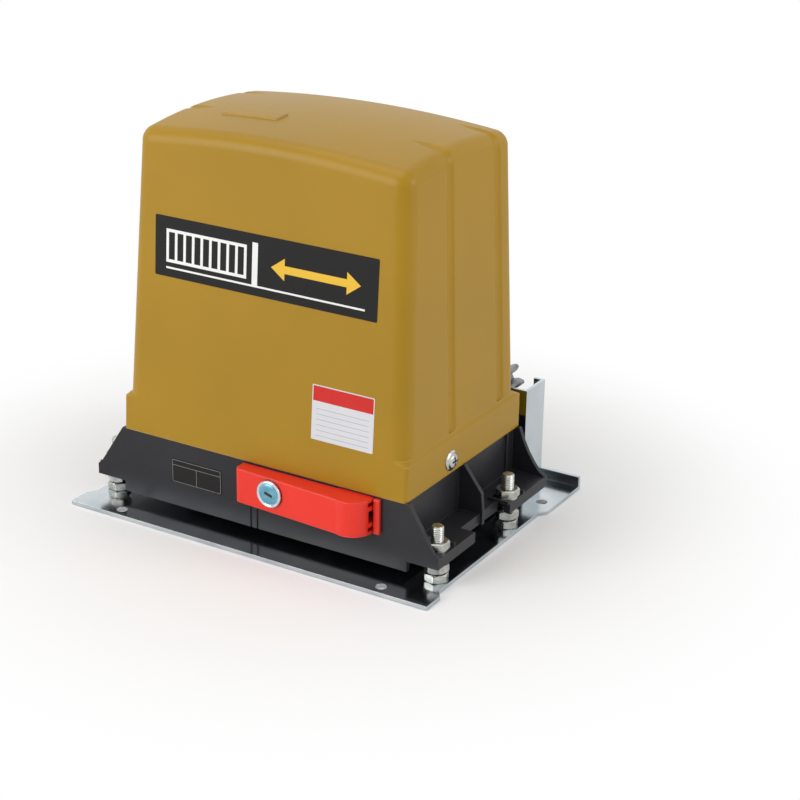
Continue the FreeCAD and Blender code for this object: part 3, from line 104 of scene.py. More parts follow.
def dress(node, finish):
    """Give a solid its finish in every slot."""
    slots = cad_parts[node].data.materials
    if not slots:
        slots.append(finish)
    for index in range(len(slots)):
        slots[index] = finish


plate_zinc = metal("plate_zinc", paint(212, 217, 219), paint(180, 188, 193), 0.15,
                   drawn=(0.06, 1, 1), cloud=24)
dress("base_plate", plate_zinc)

# Mounting studs
# Four studs of zinc plated steel, 10 mm thick, stand up from the plate through the slots of the feet.
# Their thread is rolled, so it has a rounded crest, and the end is chamfered.
fastener_zinc = metal("fastener_zinc", paint(206, 207, 203), paint(172, 172, 166), 0.27, cloud=160)


def piece(name, corners, faces, finish, body="chassis", smooth=True):
    """A new piece from its corners and faces, riding on a body."""
    shape = bpy.data.meshes.new(name)
    shape.from_pydata(corners, [], faces)
    shape.update()
    made = bpy.data.objects.new(name, shape)
    bpy.context.collection.objects.link(made)
    shape.materials.append(finish)
    for face in shape.polygons:
        face.use_smooth = smooth
    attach(made, body)
    return made


def threaded_rod(corners, faces, centre_x, centre_y, low, high, crest, pitch):
    """Add one rolled thread between two heights, closed at the top by a chamfer."""
    steps = 20
    chamfer = 0.0009
    thread_depth = 0.61 * pitch
    crest_start, crest_end = 0.42, 0.58
    turns = int((high - low) / pitch) + 1
    root = crest - thread_depth
    profile = ((root, 0.0), (crest, crest_start), (crest, crest_end), (root, 1.0))
    first = len(corners)
    for step in range(turns * steps + 1):
        angle = 2 * math.pi * step / steps
        for radius, share in profile:
            z = min(low + pitch * (step / steps - 1 + share), high)
            z = max(z, low)
            reach = min(radius, crest - max(0.0, z - (high - chamfer)))
            corners.append((centre_x + reach * math.cos(angle), centre_y + reach * math.sin(angle), z))
    row = len(profile)
    for step in range(turns * steps):
        for side in range(row - 1):
            a = first + step * row + side
            faces.append((a, a + row, a + row + 1, a + 1))
    rim = len(corners)
    reach = crest - chamfer
    for step in range(steps):
        angle = 2 * math.pi * step / steps
        corners.append((centre_x + reach * math.cos(angle), centre_y + reach * math.sin(angle), high))
    faces.append(tuple(range(rim, rim + steps)))


stud_low, stud_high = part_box("mounting_studs")
solid_stud_radius = 0.004
stud_radius = 0.005
stud_pitch = 0.0015
stud_foot = stud_low[2] + 0.0002
stud_centres = [(x, y) for x in (stud_low[0] + solid_stud_radius, stud_high[0] - solid_stud_radius)
                for y in (stud_low[1] + solid_stud_radius, stud_high[1] - solid_stud_radius)]
stud_corners, stud_faces = [], []
for stud_x, stud_y in stud_centres:
    threaded_rod(stud_corners, stud_faces, stud_x, stud_y, stud_foot, stud_high[2], stud_radius, stud_pitch)
studs = piece("stud_threads", stud_corners, stud_faces, fastener_zinc)
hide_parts("mounting_studs")


# Nuts and washers on the studs
# Plated hexagon nuts, 17 mm across the flats, their corners turned off at both faces.
# One set holds the studs to the plate, one carries the feet and one clamps them.
def turned_hexagon(corners, faces, centre, axis, across, height, bore, turn=0.0):
    """Add a hexagon with turned corners and a round bore, which closes to a dot on a solid head."""
    steps = 48
    face_reach = 0.475 * across
    chamfer_slope = 1.732
    levels = [0.0, 0.00016, 0.00034, 0.00056, 0.0009]
    levels += [height - level for level in reversed(levels)]
    first = len(corners)
    for level in levels:
        depth = min(level, height - level)
        for step in range(steps):
            angle = 2 * math.pi * step / steps
            lean = ((angle + turn) % (math.pi / 3)) - math.pi / 6
            flat = across / 2 / math.cos(lean)
            reach = min(flat, face_reach + chamfer_slope * depth)
            u, v = reach * math.cos(angle), reach * math.sin(angle)
            corners.append(spot_on(centre, axis, u, v, level))
    for ring in range(len(levels) - 1):
        for step in range(steps):
            a = first + ring * steps + step
            b = first + ring * steps + (step + 1) % steps
            faces.append((a, b, b + steps, a + steps))
    for ring, level in ((0, 0.0), (len(levels) - 1, height)):
        inner = len(corners)
        for step in range(steps):
            angle = 2 * math.pi * step / steps
            corners.append(spot_on(centre, axis, bore * math.cos(angle), bore * math.sin(angle), level))
        for step in range(steps):
            a = first + ring * steps + step
            b = first + ring * steps + (step + 1) % steps
            c = inner + (step + 1) % steps
            d = inner + step
            faces.append((b, a, d, c) if ring == 0 else (a, b, c, d))


def spot_on(centre, axis, u, v, along):
    """A point round a centre, its height measured along the axis of the fastener."""
    if axis == "Z":
        return (centre[0] + u, centre[1] + v, centre[2] + along)
    if axis == "Y":
        return (centre[0] + u, centre[1] + along, centre[2] + v)
    return (centre[0] + along, centre[1] + u, centre[2] + v)


nut_across = 0.017
nut_bore = 0.0051
for nut_set, nut_name, nut_turn in (("seat_nuts", "plate_nuts", 0.2), ("levelling_nuts", "lower_nuts", 0.7),
                                    ("clamp_nuts", "upper_nuts", math.pi / 6)):
    nut_low, nut_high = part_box(nut_set)
    nut_height = nut_high[2] - nut_low[2]
    nut_corners, nut_faces = [], []
    for stud_x, stud_y in stud_centres:
        turned_hexagon(nut_corners, nut_faces, (stud_x, stud_y, nut_low[2]), "Z",
                       nut_across, nut_height, nut_bore, nut_turn)
    nuts = piece(nut_name, nut_corners, nut_faces, fastener_zinc, smooth=False)
    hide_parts(nut_set)

washer_zinc = metal("washer_zinc", paint(218, 219, 214), paint(190, 190, 184), 0.22, cloud=120)
dress("foot_washers", washer_zinc)


# Base housing
# The black lower half, moulded in glass filled nylon, holds the gearbox and the control.
# Its end walls flare out to the feet, and its skin is satin with a fine spark grain.
def moulding(name, colour, shade, gloss, pore=1500.0, depth=0.00003, soften=0.0008, edge_wear_and_highlight=None, level=0.5):
    """Moulded plastic with a grained skin, faint flow clouds and a paler line along the edges: rub wear on
    some parts, a painted highlight on others.
    """
    flow_scale, flow_low, flow_high = 9.0, 0.35, 0.65
    flat_skin, full_edge, most_edge_wear_and_highlight = 0.985, 0.80, 0.8
    smoother, rougher = 0.05, 0.06
    made = bpy.data.materials.new(name)
    made.use_nodes = True
    nodes = made.node_tree.nodes
    wire = made.node_tree.links.new
    shader = nodes["Principled BSDF"]
    shader.inputs["Specular IOR Level"].default_value = level
    place = nodes.new("ShaderNodeTexCoord")
    flow = nodes.new("ShaderNodeTexNoise")
    flow.inputs["Scale"].default_value = flow_scale
    flow.inputs["Detail"].default_value = 3.0
    wire(place.outputs["Object"], flow.inputs["Vector"])
    tint = nodes.new("ShaderNodeMix")
    tint.data_type = "RGBA"
    tint.inputs["A"].default_value = shade
    tint.inputs["B"].default_value = colour
    spread = nodes.new("ShaderNodeMapRange")
    spread.inputs["From Min"].default_value = flow_low
    spread.inputs["From Max"].default_value = flow_high
    wire(flow.outputs["Fac"], spread.inputs["Value"])
    wire(spread.outputs["Result"], tint.inputs["Factor"])
    edge = nodes.new("ShaderNodeBevel")
    edge.samples = 6
    edge.inputs["Radius"].default_value = soften
    shown = tint.outputs["Result"]
    # Paler colour where the bevel normal leaves the true normal: edge wear on some parts, a painted highlight
    # on rounded edges on others.
    if edge_wear_and_highlight:
        facing = nodes.new("ShaderNodeNewGeometry")
        likeness = nodes.new("ShaderNodeVectorMath")
        likeness.operation = "DOT_PRODUCT"
        wire(edge.outputs["Normal"], likeness.inputs[0])
        wire(facing.outputs["Normal"], likeness.inputs[1])
        edge_wear_and_highlight_mask = nodes.new("ShaderNodeMapRange")
        edge_wear_and_highlight_mask.inputs["From Min"].default_value = flat_skin
        edge_wear_and_highlight_mask.inputs["From Max"].default_value = full_edge
        edge_wear_and_highlight_mask.inputs["To Max"].default_value = most_edge_wear_and_highlight
        wire(likeness.outputs["Value"], edge_wear_and_highlight_mask.inputs["Value"])
        edge_wear_and_highlight_mix = nodes.new("ShaderNodeMix")
        edge_wear_and_highlight_mix.data_type = "RGBA"
        edge_wear_and_highlight_mix.inputs["B"].default_value = edge_wear_and_highlight
        wire(edge_wear_and_highlight_mask.outputs["Result"], edge_wear_and_highlight_mix.inputs["Factor"])
        wire(shown, edge_wear_and_highlight_mix.inputs["A"])
        shown = edge_wear_and_highlight_mix.outputs["Result"]
    wire(shown, shader.inputs["Base Color"])
    grain = nodes.new("ShaderNodeTexNoise")
    grain.inputs["Scale"].default_value = pore
    grain.inputs["Detail"].default_value = 2.0
    wire(place.outputs["Object"], grain.inputs["Vector"])
    skin = nodes.new("ShaderNodeMapRange")
    skin.inputs["To Min"].default_value = gloss - smoother
    skin.inputs["To Max"].default_value = gloss + rougher
    wire(flow.outputs["Fac"], skin.inputs["Value"])
    wire(skin.outputs["Result"], shader.inputs["Roughness"])
    relief = nodes.new("ShaderNodeBump")
    relief.inputs["Strength"].default_value = 0.6
    relief.inputs["Distance"].default_value = depth
    wire(grain.outputs["Fac"], relief.inputs["Height"])
    wire(edge.outputs["Normal"], relief.inputs["Normal"])
    wire(relief.outputs["Normal"], shader.inputs["Normal"])
    return made


housing_black = moulding("housing_black", paint(38, 38, 42), paint(32, 32, 36), 0.36,
                         pore=1300, depth=0.00003, soften=0.0009, edge_wear_and_highlight=paint(66, 67, 72), level=0.3)
dress("base_housing", housing_black)

# Cable grommet
# A soft black rubber ring in the floor of the housing keeps the supply cable off the sheet's edge.
# It is snapped into its hole from below.
grommet_rubber = moulding("grommet_rubber", paint(30, 30, 31), paint(24, 24, 25), 0.72,
                          pore=2500, depth=0.00002, soften=0.0006)
dress("cable_grommet", grommet_rubber)

# Cover
# A deep one-piece moulding in mustard ABS that drops over the housing's upstand.
# Its walls lean in, two soft creases run up each side, and the skin has a fine leather grain.
# The paler gold along its edges is a painted highlight on the rounded edges.
cover_gold = moulding("cover_gold", paint(166, 127, 4), paint(160, 122, 2), 0.40,
                      pore=1100, depth=0.00004, soften=0.0016, edge_wear_and_highlight=paint(210, 174, 96), level=0.36)
dress("cover_shell", cover_gold)

# Cover screws
# Two plated flange screws, one at each end, hold the cover to lugs of the housing inside it.
# Each has a pressed pan with a cross recess.
# A flat black that stands for the dark inside of the screws' cross recesses and the key slot: painted shade.
recess_painted_shade = moulding("recess_painted_shade", paint(26, 26, 27), paint(20, 20, 21), 0.6)


def turned(corners, faces, outline, centre, axis, way, steps):
    """Add a body turned about an axis, from (height, radius) pairs; way says to which end it stands up."""
    first = len(corners)
    for height, radius in outline:
        for step in range(steps):
            angle = 2 * math.pi * step / steps
            u, v = radius * math.cos(angle), radius * math.sin(angle)
            corners.append(spot_on(centre, axis, u, v, way * height))
    outward = (way > 0) != (axis == "Y")
    for ring in range(len(outline) - 1):
        for step in range(steps):
            a = first + ring * steps + step
            b = first + ring * steps + (step + 1) % steps
            faces.append((a, b, b + steps, a + steps) if outward else (b, a, a + steps, b + steps))


screw_low, screw_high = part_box("cover_screws")
screw_y = (screw_low[1] + screw_high[1]) / 2
screw_z = (screw_low[2] + screw_high[2]) / 2
screw_head, screw_steps = 0.0041, 40
flange_radius, pan_radius = 0.0082, 0.0060
head_outline = [(0.0, flange_radius), (0.0006, flange_radius), (0.0012, 0.0079), (0.0014, 0.0061),
                (0.0024, pan_radius), (0.0033, 0.0054), (0.0038, 0.0043), (0.0040, 0.0023),
                (0.00402, 0.00001)]
screw_corners, screw_faces = [], []
for way, base_x in ((1, screw_high[0] - screw_head), (-1, screw_low[0] + screw_head)):
    turned(screw_corners, screw_faces, head_outline, (base_x, screw_y, screw_z), "X", way, screw_steps)
screw_heads = piece("cover_screw_heads", screw_corners, screw_faces, fastener_zinc)
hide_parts("cover_screws")
# Each cross recess is a thin black cross set into the pan: painted shade, not a hollow.
cross_arm, cross_half_width = 0.0034, 0.0007
cross_foot, cross_top = 0.0012, 0.00002
cross_corners, cross_faces = [], []
for way, base_x in ((1, screw_high[0]), (-1, screw_low[0])):
    for half_y, half_z in ((cross_arm, cross_half_width), (cross_half_width, cross_arm)):
        first = len(cross_corners)
        for x in (base_x - way * cross_foot, base_x - way * cross_top):
            for y, z in ((-half_y, -half_z), (half_y, -half_z), (half_y, half_z), (-half_y, half_z)):
                cross_corners.append((x, screw_y + y, screw_z + z))
        cross_faces.append((first + 4, first + 5, first + 6, first + 7))
        for side in range(4):
            after = (side + 1) % 4
            cross_faces.append((first + side, first + after, first + 4 + after, first + 4 + side))
cross_recess_shade = piece("cover_screw_cross_shade", cross_corners, cross_faces, recess_painted_shade, smooth=False)

# Front panel, service card and rating plate
# Printed vinyl stickers pressed on by hand: a black panel with a picture of a sliding gate,
# a ruled card for the fitter's own notes, and a dark ruled plate on the housing.
cover_low, cover_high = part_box("cover_shell")
lean_back, lean_height = 0.0150, 0.2370
front_lean = lean_back / lean_height
face_out = Vector((0, -1, front_lean)).normalized()
wall_back = 0.0002
wall_y = cover_low[1] + wall_back


def on_front(x, z, lift):
    """A point on the leaning front of the cover, lifted off it."""
    y = cover_low[1] + front_lean * (z - cover_low[2])
    return Vector((x, y, z)) + face_out * lift


def on_wall(x, z, lift):
    """A point on the upright front wall of the housing, lifted off it."""
    return Vector((x, wall_y - lift, z))


def sticker(name, left, right, low, high, corner, place, finish, lift=0.00002, thick=0.00022):
    """A sheet with round corners and a cut edge."""
    corner_steps = 6
    outline = []
    for centre_x, centre_z, turn in ((right - corner, high - corner, 0), (left + corner, high - corner, 90),
                                     (left + corner, low + corner, 180), (right - corner, low + corner, 270)):
        for step in range(corner_steps + 1):
            angle = math.radians(turn + step * 90 / corner_steps)
            outline.append((centre_x + corner * math.cos(angle), centre_z + corner * math.sin(angle)))
    count = len(outline)
    corners = [place(x, z, lift) for x, z in outline] + [place(x, z, lift + thick) for x, z in outline]
    faces = [tuple(range(count, 2 * count))]
    faces += [(i, (i + 1) % count, count + (i + 1) % count, count + i) for i in range(count)]
    return piece(name, corners, faces, finish, smooth=False)


def deeper(colour, share):
    """The same colour, darker."""
    return (*(part * share for part in colour[:3]), 1.0)


def print_ink(name, colour, gloss):
    """Printed vinyl: smooth, a little uneven in its gloss."""
    return moulding(name, colour, deeper(colour, 0.94), gloss,
                    pore=500, depth=0.000004, soften=0.0001, level=0.22)


ink_black = print_ink("ink_black", paint(26, 24, 24), 0.28)
ink_white = print_ink("ink_white", paint(238, 238, 234), 0.34)
ink_amber = print_ink("ink_amber", paint(236, 190, 62), 0.32)
ink_red = print_ink("ink_red", paint(208, 46, 40), 0.34)
ink_grey = print_ink("ink_grey", paint(150, 150, 150), 0.4)
card_paper = print_ink("card_paper", paint(217, 218, 222), 0.45)

panel_height, panel_corner = 0.0470, 0.0012
panel_left, panel_right = cover_low[0] + 0.0296, cover_high[0] - 0.0314
panel_low = cover_low[2] + 0.1320
panel_high = panel_low + panel_height
panel = sticker("front_panel", panel_left, panel_right, panel_low, panel_high, panel_corner, on_front,
                ink_black)


def bar(left, right, low, high):
    """The outline of one printed bar."""
    return [(left, low), (right, low), (right, high), (left, high)]


def printed(name, shapes, place, finish, lift=0.00026):
    """Flat printed shapes as one piece, each shape given by its (x, z) points."""
    corners, faces = [], []
    for points in shapes:
        faces.append(tuple(range(len(corners), len(corners) + len(points))))
        corners += [place(x, z, lift) for x, z in points]
    return piece(name, corners, faces, finish, smooth=False)


gate_width, gate_height = 0.0740, 0.0260
gate_bar, gate_bars = 0.0024, 10
gate_left, gate_low = panel_left + 0.0104, panel_low + 0.0115
gate_right, gate_high = gate_left + gate_width, gate_low + gate_height
ground_right, ground_low = panel_right - 0.0106, panel_low + 0.0065
ground_high = ground_low + 0.0015
post_left, post_width, post_high = gate_right + 0.0050, 0.0050, gate_high + 0.0030
post_right = post_left + post_width
gate_shapes = [bar(gate_left, gate_right, gate_high - gate_bar, gate_high),
               bar(gate_left, gate_right, gate_low, gate_low + gate_bar)]
for index in range(gate_bars):
    bar_x = gate_left + index * (gate_right - gate_left - gate_bar) / (gate_bars - 1)
    gate_shapes.append(bar(bar_x, bar_x + gate_bar, gate_low + gate_bar, gate_high - gate_bar))
gate_shapes.append(bar(gate_left, ground_right, ground_low, ground_high))
gate_shapes.append(bar(post_left, post_right, ground_high, post_high))
gate_picture = printed("panel_gate_picture", gate_shapes, on_front, ink_white)

arrow_left, arrow_right = post_right + 0.0120, panel_right - 0.0146
arrow_z = (gate_low + gate_high) / 2
arrow_head, arrow_half_head, arrow_half_shaft = 0.0120, 0.0085, 0.0030
neck_left, neck_right = arrow_left + arrow_head, arrow_right - arrow_head
arrow_shapes = [
    [(arrow_left, arrow_z), (neck_left, arrow_z - arrow_half_head), (neck_left, arrow_z + arrow_half_head)],
    bar(neck_left, neck_right, arrow_z - arrow_half_shaft, arrow_z + arrow_half_shaft),
    [(arrow_right, arrow_z), (neck_right, arrow_z + arrow_half_head),
     (neck_right, arrow_z - arrow_half_head)]]
arrow_picture = printed("panel_arrow_picture", arrow_shapes, on_front, ink_amber)

sticker_corner = 0.0008
card_width, card_height = 0.0540, 0.0430
card_edge, card_head_height = 0.0008, 0.0125
rule_inset, rule_start, rule_step, rule_thick, rule_count = 0.0040, 0.0035, 0.0042, 0.0003, 6
card_right, card_low = cover_high[0] - 0.0300, cover_low[2] + 0.0320
card_left, card_high = card_right - card_width, card_low + card_height
card = sticker("service_card", card_left, card_right, card_low, card_high, sticker_corner, on_front,
               card_paper)
head_shape = bar(card_left + card_edge, card_right - card_edge, card_high - card_head_height,
                 card_high - card_edge)
card_head = printed("service_card_head", [head_shape], on_front, ink_red)
rule_shapes = []
for index in range(rule_count):
    rule_z = card_low + rule_start + index * rule_step
    rule_shapes.append(bar(card_left + rule_inset, card_right - rule_inset, rule_z, rule_z + rule_thick))
card_rules = printed("service_card_rules", rule_shapes, on_front, ink_grey)

housing_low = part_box("base_housing")[0]
rating_width, rating_height = 0.0480, 0.0204
rating_left, rating_low = cover_low[0] + 0.0460, housing_low[2] + 0.0198
rating_right, rating_high = rating_left + rating_width, rating_low + rating_height
rating = sticker("rating_plate", rating_left, rating_right, rating_low, rating_high, sticker_corner, on_wall,
                 ink_black)
border_inset, head_depth, column_width = 0.0008, 0.0046, 0.0230
line_left, line_right = rating_left + border_inset, rating_right - border_inset
line_low, line_high = rating_low + border_inset, rating_high - border_inset
head_line, column_line = line_high - head_depth, line_left + column_width
line_shapes = [bar(line_left, line_right, line_high - rule_thick, line_high),
               bar(line_left, line_right, line_low, line_low + rule_thick),
               bar(line_left, line_left + rule_thick, line_low, line_high),
               bar(line_right - rule_thick, line_right, line_low, line_high),
               bar(line_left, line_right, head_line, head_line + rule_thick),
               bar(column_line, column_line + rule_thick, line_low, head_line)]
rating_rules = printed("rating_plate_rules", line_shapes, on_wall, ink_grey)

# Pinion guard and its screws
# Folded from 2.5 mm zinc plated sheet and screwed to the plate, open above for the rack.
# The sheet is polished by the rollers, so it mirrors what stands round it.
guard_zinc = metal("guard_zinc", paint(212, 219, 223), paint(192, 201, 207), 0.16,
                   drawn=(1, 1, 0.06), cloud=18)
dress("pinion_guard", guard_zinc)
bolt_across, bolt_head, bolt_corner = 0.010, 0.004, 0.00577
no_bore = 0.00001
bolt_low, bolt_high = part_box("guard_screws")
bolt_y = (bolt_low[1] + bolt_high[1]) / 2
bolt_corners, bolt_faces = [], []
for bolt_x in (bolt_low[0] + bolt_corner, bolt_high[0] - bolt_corner):
    turned_hexagon(bolt_corners, bolt_faces, (bolt_x, bolt_y, bolt_high[2] - bolt_head), "Z",
                   bolt_across, bolt_head, no_bore)
guard_bolts = piece("guard_bolt_heads", bolt_corners, bolt_faces, fastener_zinc, smooth=False)
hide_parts("guard_screws")

# Output shaft, its bearings and the drive pinion
# The shaft is ground steel in two ball bearings. The pinion is hobbed steel with twelve
# teeth of module 4, oiled, and held on the shaft's end by a washer and a bolt.
ground_steel = metal("ground_steel", paint(196, 198, 200), paint(176, 178, 181), 0.20,
                     drawn=(1, 0.05, 1), cloud=60)
hobbed_steel = metal("hobbed_steel", paint(150, 151, 154), paint(118, 119, 123), 0.34,
                     drawn=(1, 0.08, 1), cloud=90)
bearing_race = metal("bearing_race", paint(188, 190, 193), paint(166, 168, 171), 0.16, cloud=70)
cast_metal = metal("cast_metal", paint(168, 170, 172), paint(140, 142, 145), 0.48, cloud=140, scratch=0.00012)
dress("output_shaft", ground_steel)
dress("shaft_spacer", ground_steel)
dress("drive_pinion", hobbed_steel)
dress("pinion_washer", washer_zinc)
dress("rear_bearing", bearing_race)
dress("front_bearing", bearing_race)
dress("front_bearing_block", cast_metal)
head_low, head_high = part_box("pinion_bolt")
head_foot = ((head_low[0] + head_high[0]) / 2, head_low[1], (head_low[2] + head_high[2]) / 2)
head_across = 0.013
head_corners, head_faces = [], []
turned_hexagon(head_corners, head_faces, head_foot, "Y", head_across, head_high[1] - head_low[1], no_bore)
head_faces = [tuple(reversed(face)) for face in head_faces]
pinion_head = piece("pinion_bolt_head", head_corners, head_faces, fastener_zinc,
                    body="output_line", smooth=False)
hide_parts("pinion_bolt")

# Worm wheel, dog clutch and worm
# The wheel is cast bronze on a turned brass bush. The clutch and the worm are hardened steel,
# and a key in the shaft turns the clutch while it slides.
wheel_bronze = metal("wheel_bronze", paint(190, 142, 84), paint(160, 116, 62), 0.36, cloud=110)
turned_brass = metal("turned_brass", paint(206, 176, 104), paint(184, 152, 84), 0.26, cloud=80)
hardened_steel = metal("hardened_steel", paint(120, 121, 126), paint(92, 93, 98), 0.30,
                       drawn=(1, 1, 0.1), cloud=80)
dress("worm_wheel", wheel_bronze)
dress("wheel_bush", turned_brass)
dress("dog_clutch", hardened_steel)
dress("clutch_key", ground_steel)
dress("worm_shaft", hardened_steel)

# Gear case
# Two aluminium castings screwed together round the wheel, sand grained and left bare.
# The tower stands on a leg from the floor of the housing and carries the motor.
dress("gear_case", cast_metal)
dress("case_cover", cast_metal)
dress("case_screws", fastener_zinc)

# Release rod and fork
# A ground rod runs back from the handle's cam to a plated steel fork that draws the clutch away.
# The fork is pressed from sheet.
dress("release_rod", ground_steel)
dress("release_fork", washer_zinc)

# Release handle
# A red nylon lever on a barrel that swings out from the front to free the gate by hand.
# It is glossier than the cover, and its upper edge is rounded by the tool.
# The paler red along its edges is a painted highlight on the rounded upper edge.
handle_red = moulding("handle_red", paint(236, 46, 28), paint(229, 41, 24), 0.30,
                      pore=1600, depth=0.000015, soften=0.0022, edge_wear_and_highlight=paint(244, 84, 68), level=0.4)
dress("release_handle", handle_red)
dress("hinge_strip", handle_red)
dress("hinge_pin", ground_steel)

# Cam lock
# A chromed die cast barrel in the handle, with a plug that takes the key and a steel tongue.
# The tongue hooks behind the housing's wall to keep the handle shut.
lock_chrome = metal("lock_chrome", paint(214, 226, 232), paint(196, 210, 218), 0.09,
                    cloud=40, scratch=0.000004, soften=0.0007)
lock_face = metal("lock_face", paint(126, 186, 206), paint(104, 164, 188), 0.24,
                  cloud=300, scratch=0.00001)
dress("lock_barrel", lock_chrome)
dress("lock_plug", lock_face)
dress("lock_tongue", fastener_zinc)


def turned_front(name, outline, centre, finish, body):
    """A piece turned about Y that faces the front, from (height, radius) pairs."""
    steps = 48
    corners, faces = [], []
    turned(corners, faces, outline, centre, "Y", -1, steps)
    return piece(name, corners, faces, finish, body=body)


lock_low, lock_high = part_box("lock_barrel")
lock_centre = ((lock_low[0] + lock_high[0]) / 2, lock_low[1], (lock_low[2] + lock_high[2]) / 2)
rim_outline = [(-0.0010, 0.0108), (-0.0002, 0.01085), (0.0004, 0.0106), (0.0009, 0.0101), (0.0010, 0.0096),
               (0.0008, 0.0091), (0.0003, 0.0087), (-0.0001, 0.0085), (-0.0001, 0.0082)]
lock_rim = turned_front("lock_rim", rim_outline, lock_centre, lock_chrome, "handle")
key_outline = [(0.0, 0.0083), (0.0003, 0.0082), (0.0005, 0.0079), (0.00055, 0.0040), (0.00055, 0.00001)]
key_face = turned_front("lock_key_face", key_outline, lock_centre, lock_face, "lock")
# The key slot is a flat black sheet just in front of the plug face: painted shade, not a hollow.
slot_half_length, slot_half_height, slot_lift, slot_turn = 0.0034, 0.0011, 0.00060, 0.3
slot_corners = []
for u, v in ((-slot_half_length, -slot_half_height), (slot_half_length, -slot_half_height),
             (slot_half_length, slot_half_height), (-slot_half_length, slot_half_height)):
    slot_corners.append(spot_on(lock_centre, "Y", u + slot_turn * v, v - slot_turn * u, -slot_lift))
key_slot_painted_shade = piece("lock_key_slot_painted_shade", slot_corners, [(0, 1, 2, 3)], recess_painted_shade, body="lock", smooth=False)

# Motor
# A permanent magnet motor stands on the gear case: black enamelled can, two ferrite magnets,
# a stacked and wound core on the worm's shaft, and cast end plates.
can_enamel = moulding("can_enamel", paint(34, 36, 40), paint(28, 30, 34), 0.24,
                      pore=700, depth=0.00001, soften=0.001)
ferrite = moulding("ferrite", paint(62, 62, 66), paint(48, 48, 52), 0.6, pore=2600, depth=0.00004)


def stacked_core(name, sheet, line, along, pitch):
    """Stacked sheet steel, seen as fine lines across the stack."""
    waves_to_the_metre = 3.2
    made = metal(name, sheet, line, 0.42, cloud=60)
    nodes = made.node_tree.nodes
    wire = made.node_tree.links.new
    shader = nodes["Principled BSDF"]
    bands = nodes.new("ShaderNodeTexWave")
    bands.bands_direction = along
    bands.inputs["Scale"].default_value = 1 / pitch / waves_to_the_metre
    place = nodes.new("ShaderNodeTexCoord")
    wire(place.outputs["Object"], bands.inputs["Vector"])
    mixed = nodes.new("ShaderNodeMix")
    mixed.data_type = "RGBA"
    mixed.inputs["A"].default_value = line
    mixed.inputs["B"].default_value = sheet
    wire(bands.outputs["Fac"], mixed.inputs["Factor"])
    wire(mixed.outputs["Result"], shader.inputs["Base Color"])
    return made


rotor_stack = stacked_core("rotor_stack", paint(128, 124, 118), paint(84, 80, 76), "Z", 0.001)
dress("motor_flange", cast_metal)
dress("motor_can", can_enamel)
dress("motor_magnets", ferrite)
dress("rotor_core", rotor_stack)
dress("motor_end_cap", cast_metal)

# Battery
# A sealed lead battery in a grey case stands on a rubber pad under a plated strap.
# It runs the gate through a power cut.
battery_grey = moulding("battery_grey", paint(84, 88, 94), paint(76, 80, 86), 0.42,
                        pore=900, depth=0.00002, edge_wear_and_highlight=paint(112, 116, 122))
dress("battery_pad", grommet_rubber)
dress("battery", battery_grey)
dress("battery_strap", washer_zinc)


# Control board and its parts
# A green laminate on brass spacers and a folded bracket, with green terminals, sealed relays,
# a sleeved capacitor and the processor, all soldered through.
def laminate(name, mask, copper):
    """Solder mask over copper tracks that show as slightly paler lines."""
    track_scale, track_width = 90.0, 0.012
    made = moulding(name, mask, deeper(mask, 0.9), 0.26, pore=2000, depth=0.00001, soften=0.0002)
    nodes = made.node_tree.nodes
    wire = made.node_tree.links.new
    tracks = nodes.new("ShaderNodeTexBrick")
    tracks.inputs["Color1"].default_value = mask
    tracks.inputs["Color2"].default_value = mask
    tracks.inputs["Mortar"].default_value = copper
    tracks.inputs["Scale"].default_value = track_scale
    tracks.inputs["Mortar Size"].default_value = track_width
    turn = nodes.new("ShaderNodeMapping")
    turn.inputs["Rotation"].default_value = (math.pi / 2, 0, 0)
    place = nodes.new("ShaderNodeTexCoord")
    wire(place.outputs["Object"], turn.inputs["Vector"])
    wire(turn.outputs["Vector"], tracks.inputs["Vector"])
    wire(tracks.outputs["Color"], nodes["Principled BSDF"].inputs["Base Color"])
    return made


board_green = laminate("board_green", paint(24, 92, 56), paint(58, 132, 84))
terminal_green = moulding("terminal_green", paint(46, 132, 92), paint(40, 122, 84), 0.38)
relay_blue = moulding("relay_blue", paint(36, 74, 132), paint(30, 66, 122), 0.28, soften=0.0006)
sleeve_black = moulding("sleeve_black", paint(30, 32, 48), paint(26, 28, 42), 0.25)
chip_black = moulding("chip_black", paint(36, 36, 38), paint(30, 30, 32), 0.5, pore=3000)
dress("board_bracket", plate_zinc)
dress("control_board", board_green)
dress("board_spacers", turned_brass)
dress("terminal_blocks", terminal_green)
dress("relays", relay_blue)
dress("capacitor", sleeve_black)
dress("processor", chip_black)

# Transformer
# Stacked sheet iron round a taped winding, standing on the floor of the housing.
# The stack's lines run across it.
transformer_stack = stacked_core("transformer_stack", paint(120, 112, 102), paint(80, 74, 68), "Y", 0.0009)
dress("transformer", transformer_stack)

# Studio
# A pale floor, an even sky and three broad soft lamps.
# The floor keeps the part's soft shadow and turns to plain white further out.
studio_white = (1.0, 1.0, 1.0, 1.0)
floor_white = (0.94, 0.94, 0.94, 1.0)
floor_reach, floor_z = 6.0, -0.0004
shadow_ends, plain_from = 0.19, 0.42
floor_mesh = bpy.data.meshes.new("studio_floor")
floor_mesh.from_pydata([(-floor_reach, -floor_reach, floor_z), (floor_reach, -floor_reach, floor_z),
                        (floor_reach, floor_reach, floor_z), (-floor_reach, floor_reach, floor_z)],
                       [], [(0, 1, 2, 3)])
studio_floor = bpy.data.objects.new("studio_floor", floor_mesh)
bpy.context.collection.objects.link(studio_floor)
floor_paint = bpy.data.materials.new("floor_paint")
floor_paint.use_nodes = True
floor_nodes = floor_paint.node_tree.nodes
floor_wire = floor_paint.node_tree.links.new
floor_shader = floor_nodes["Principled BSDF"]
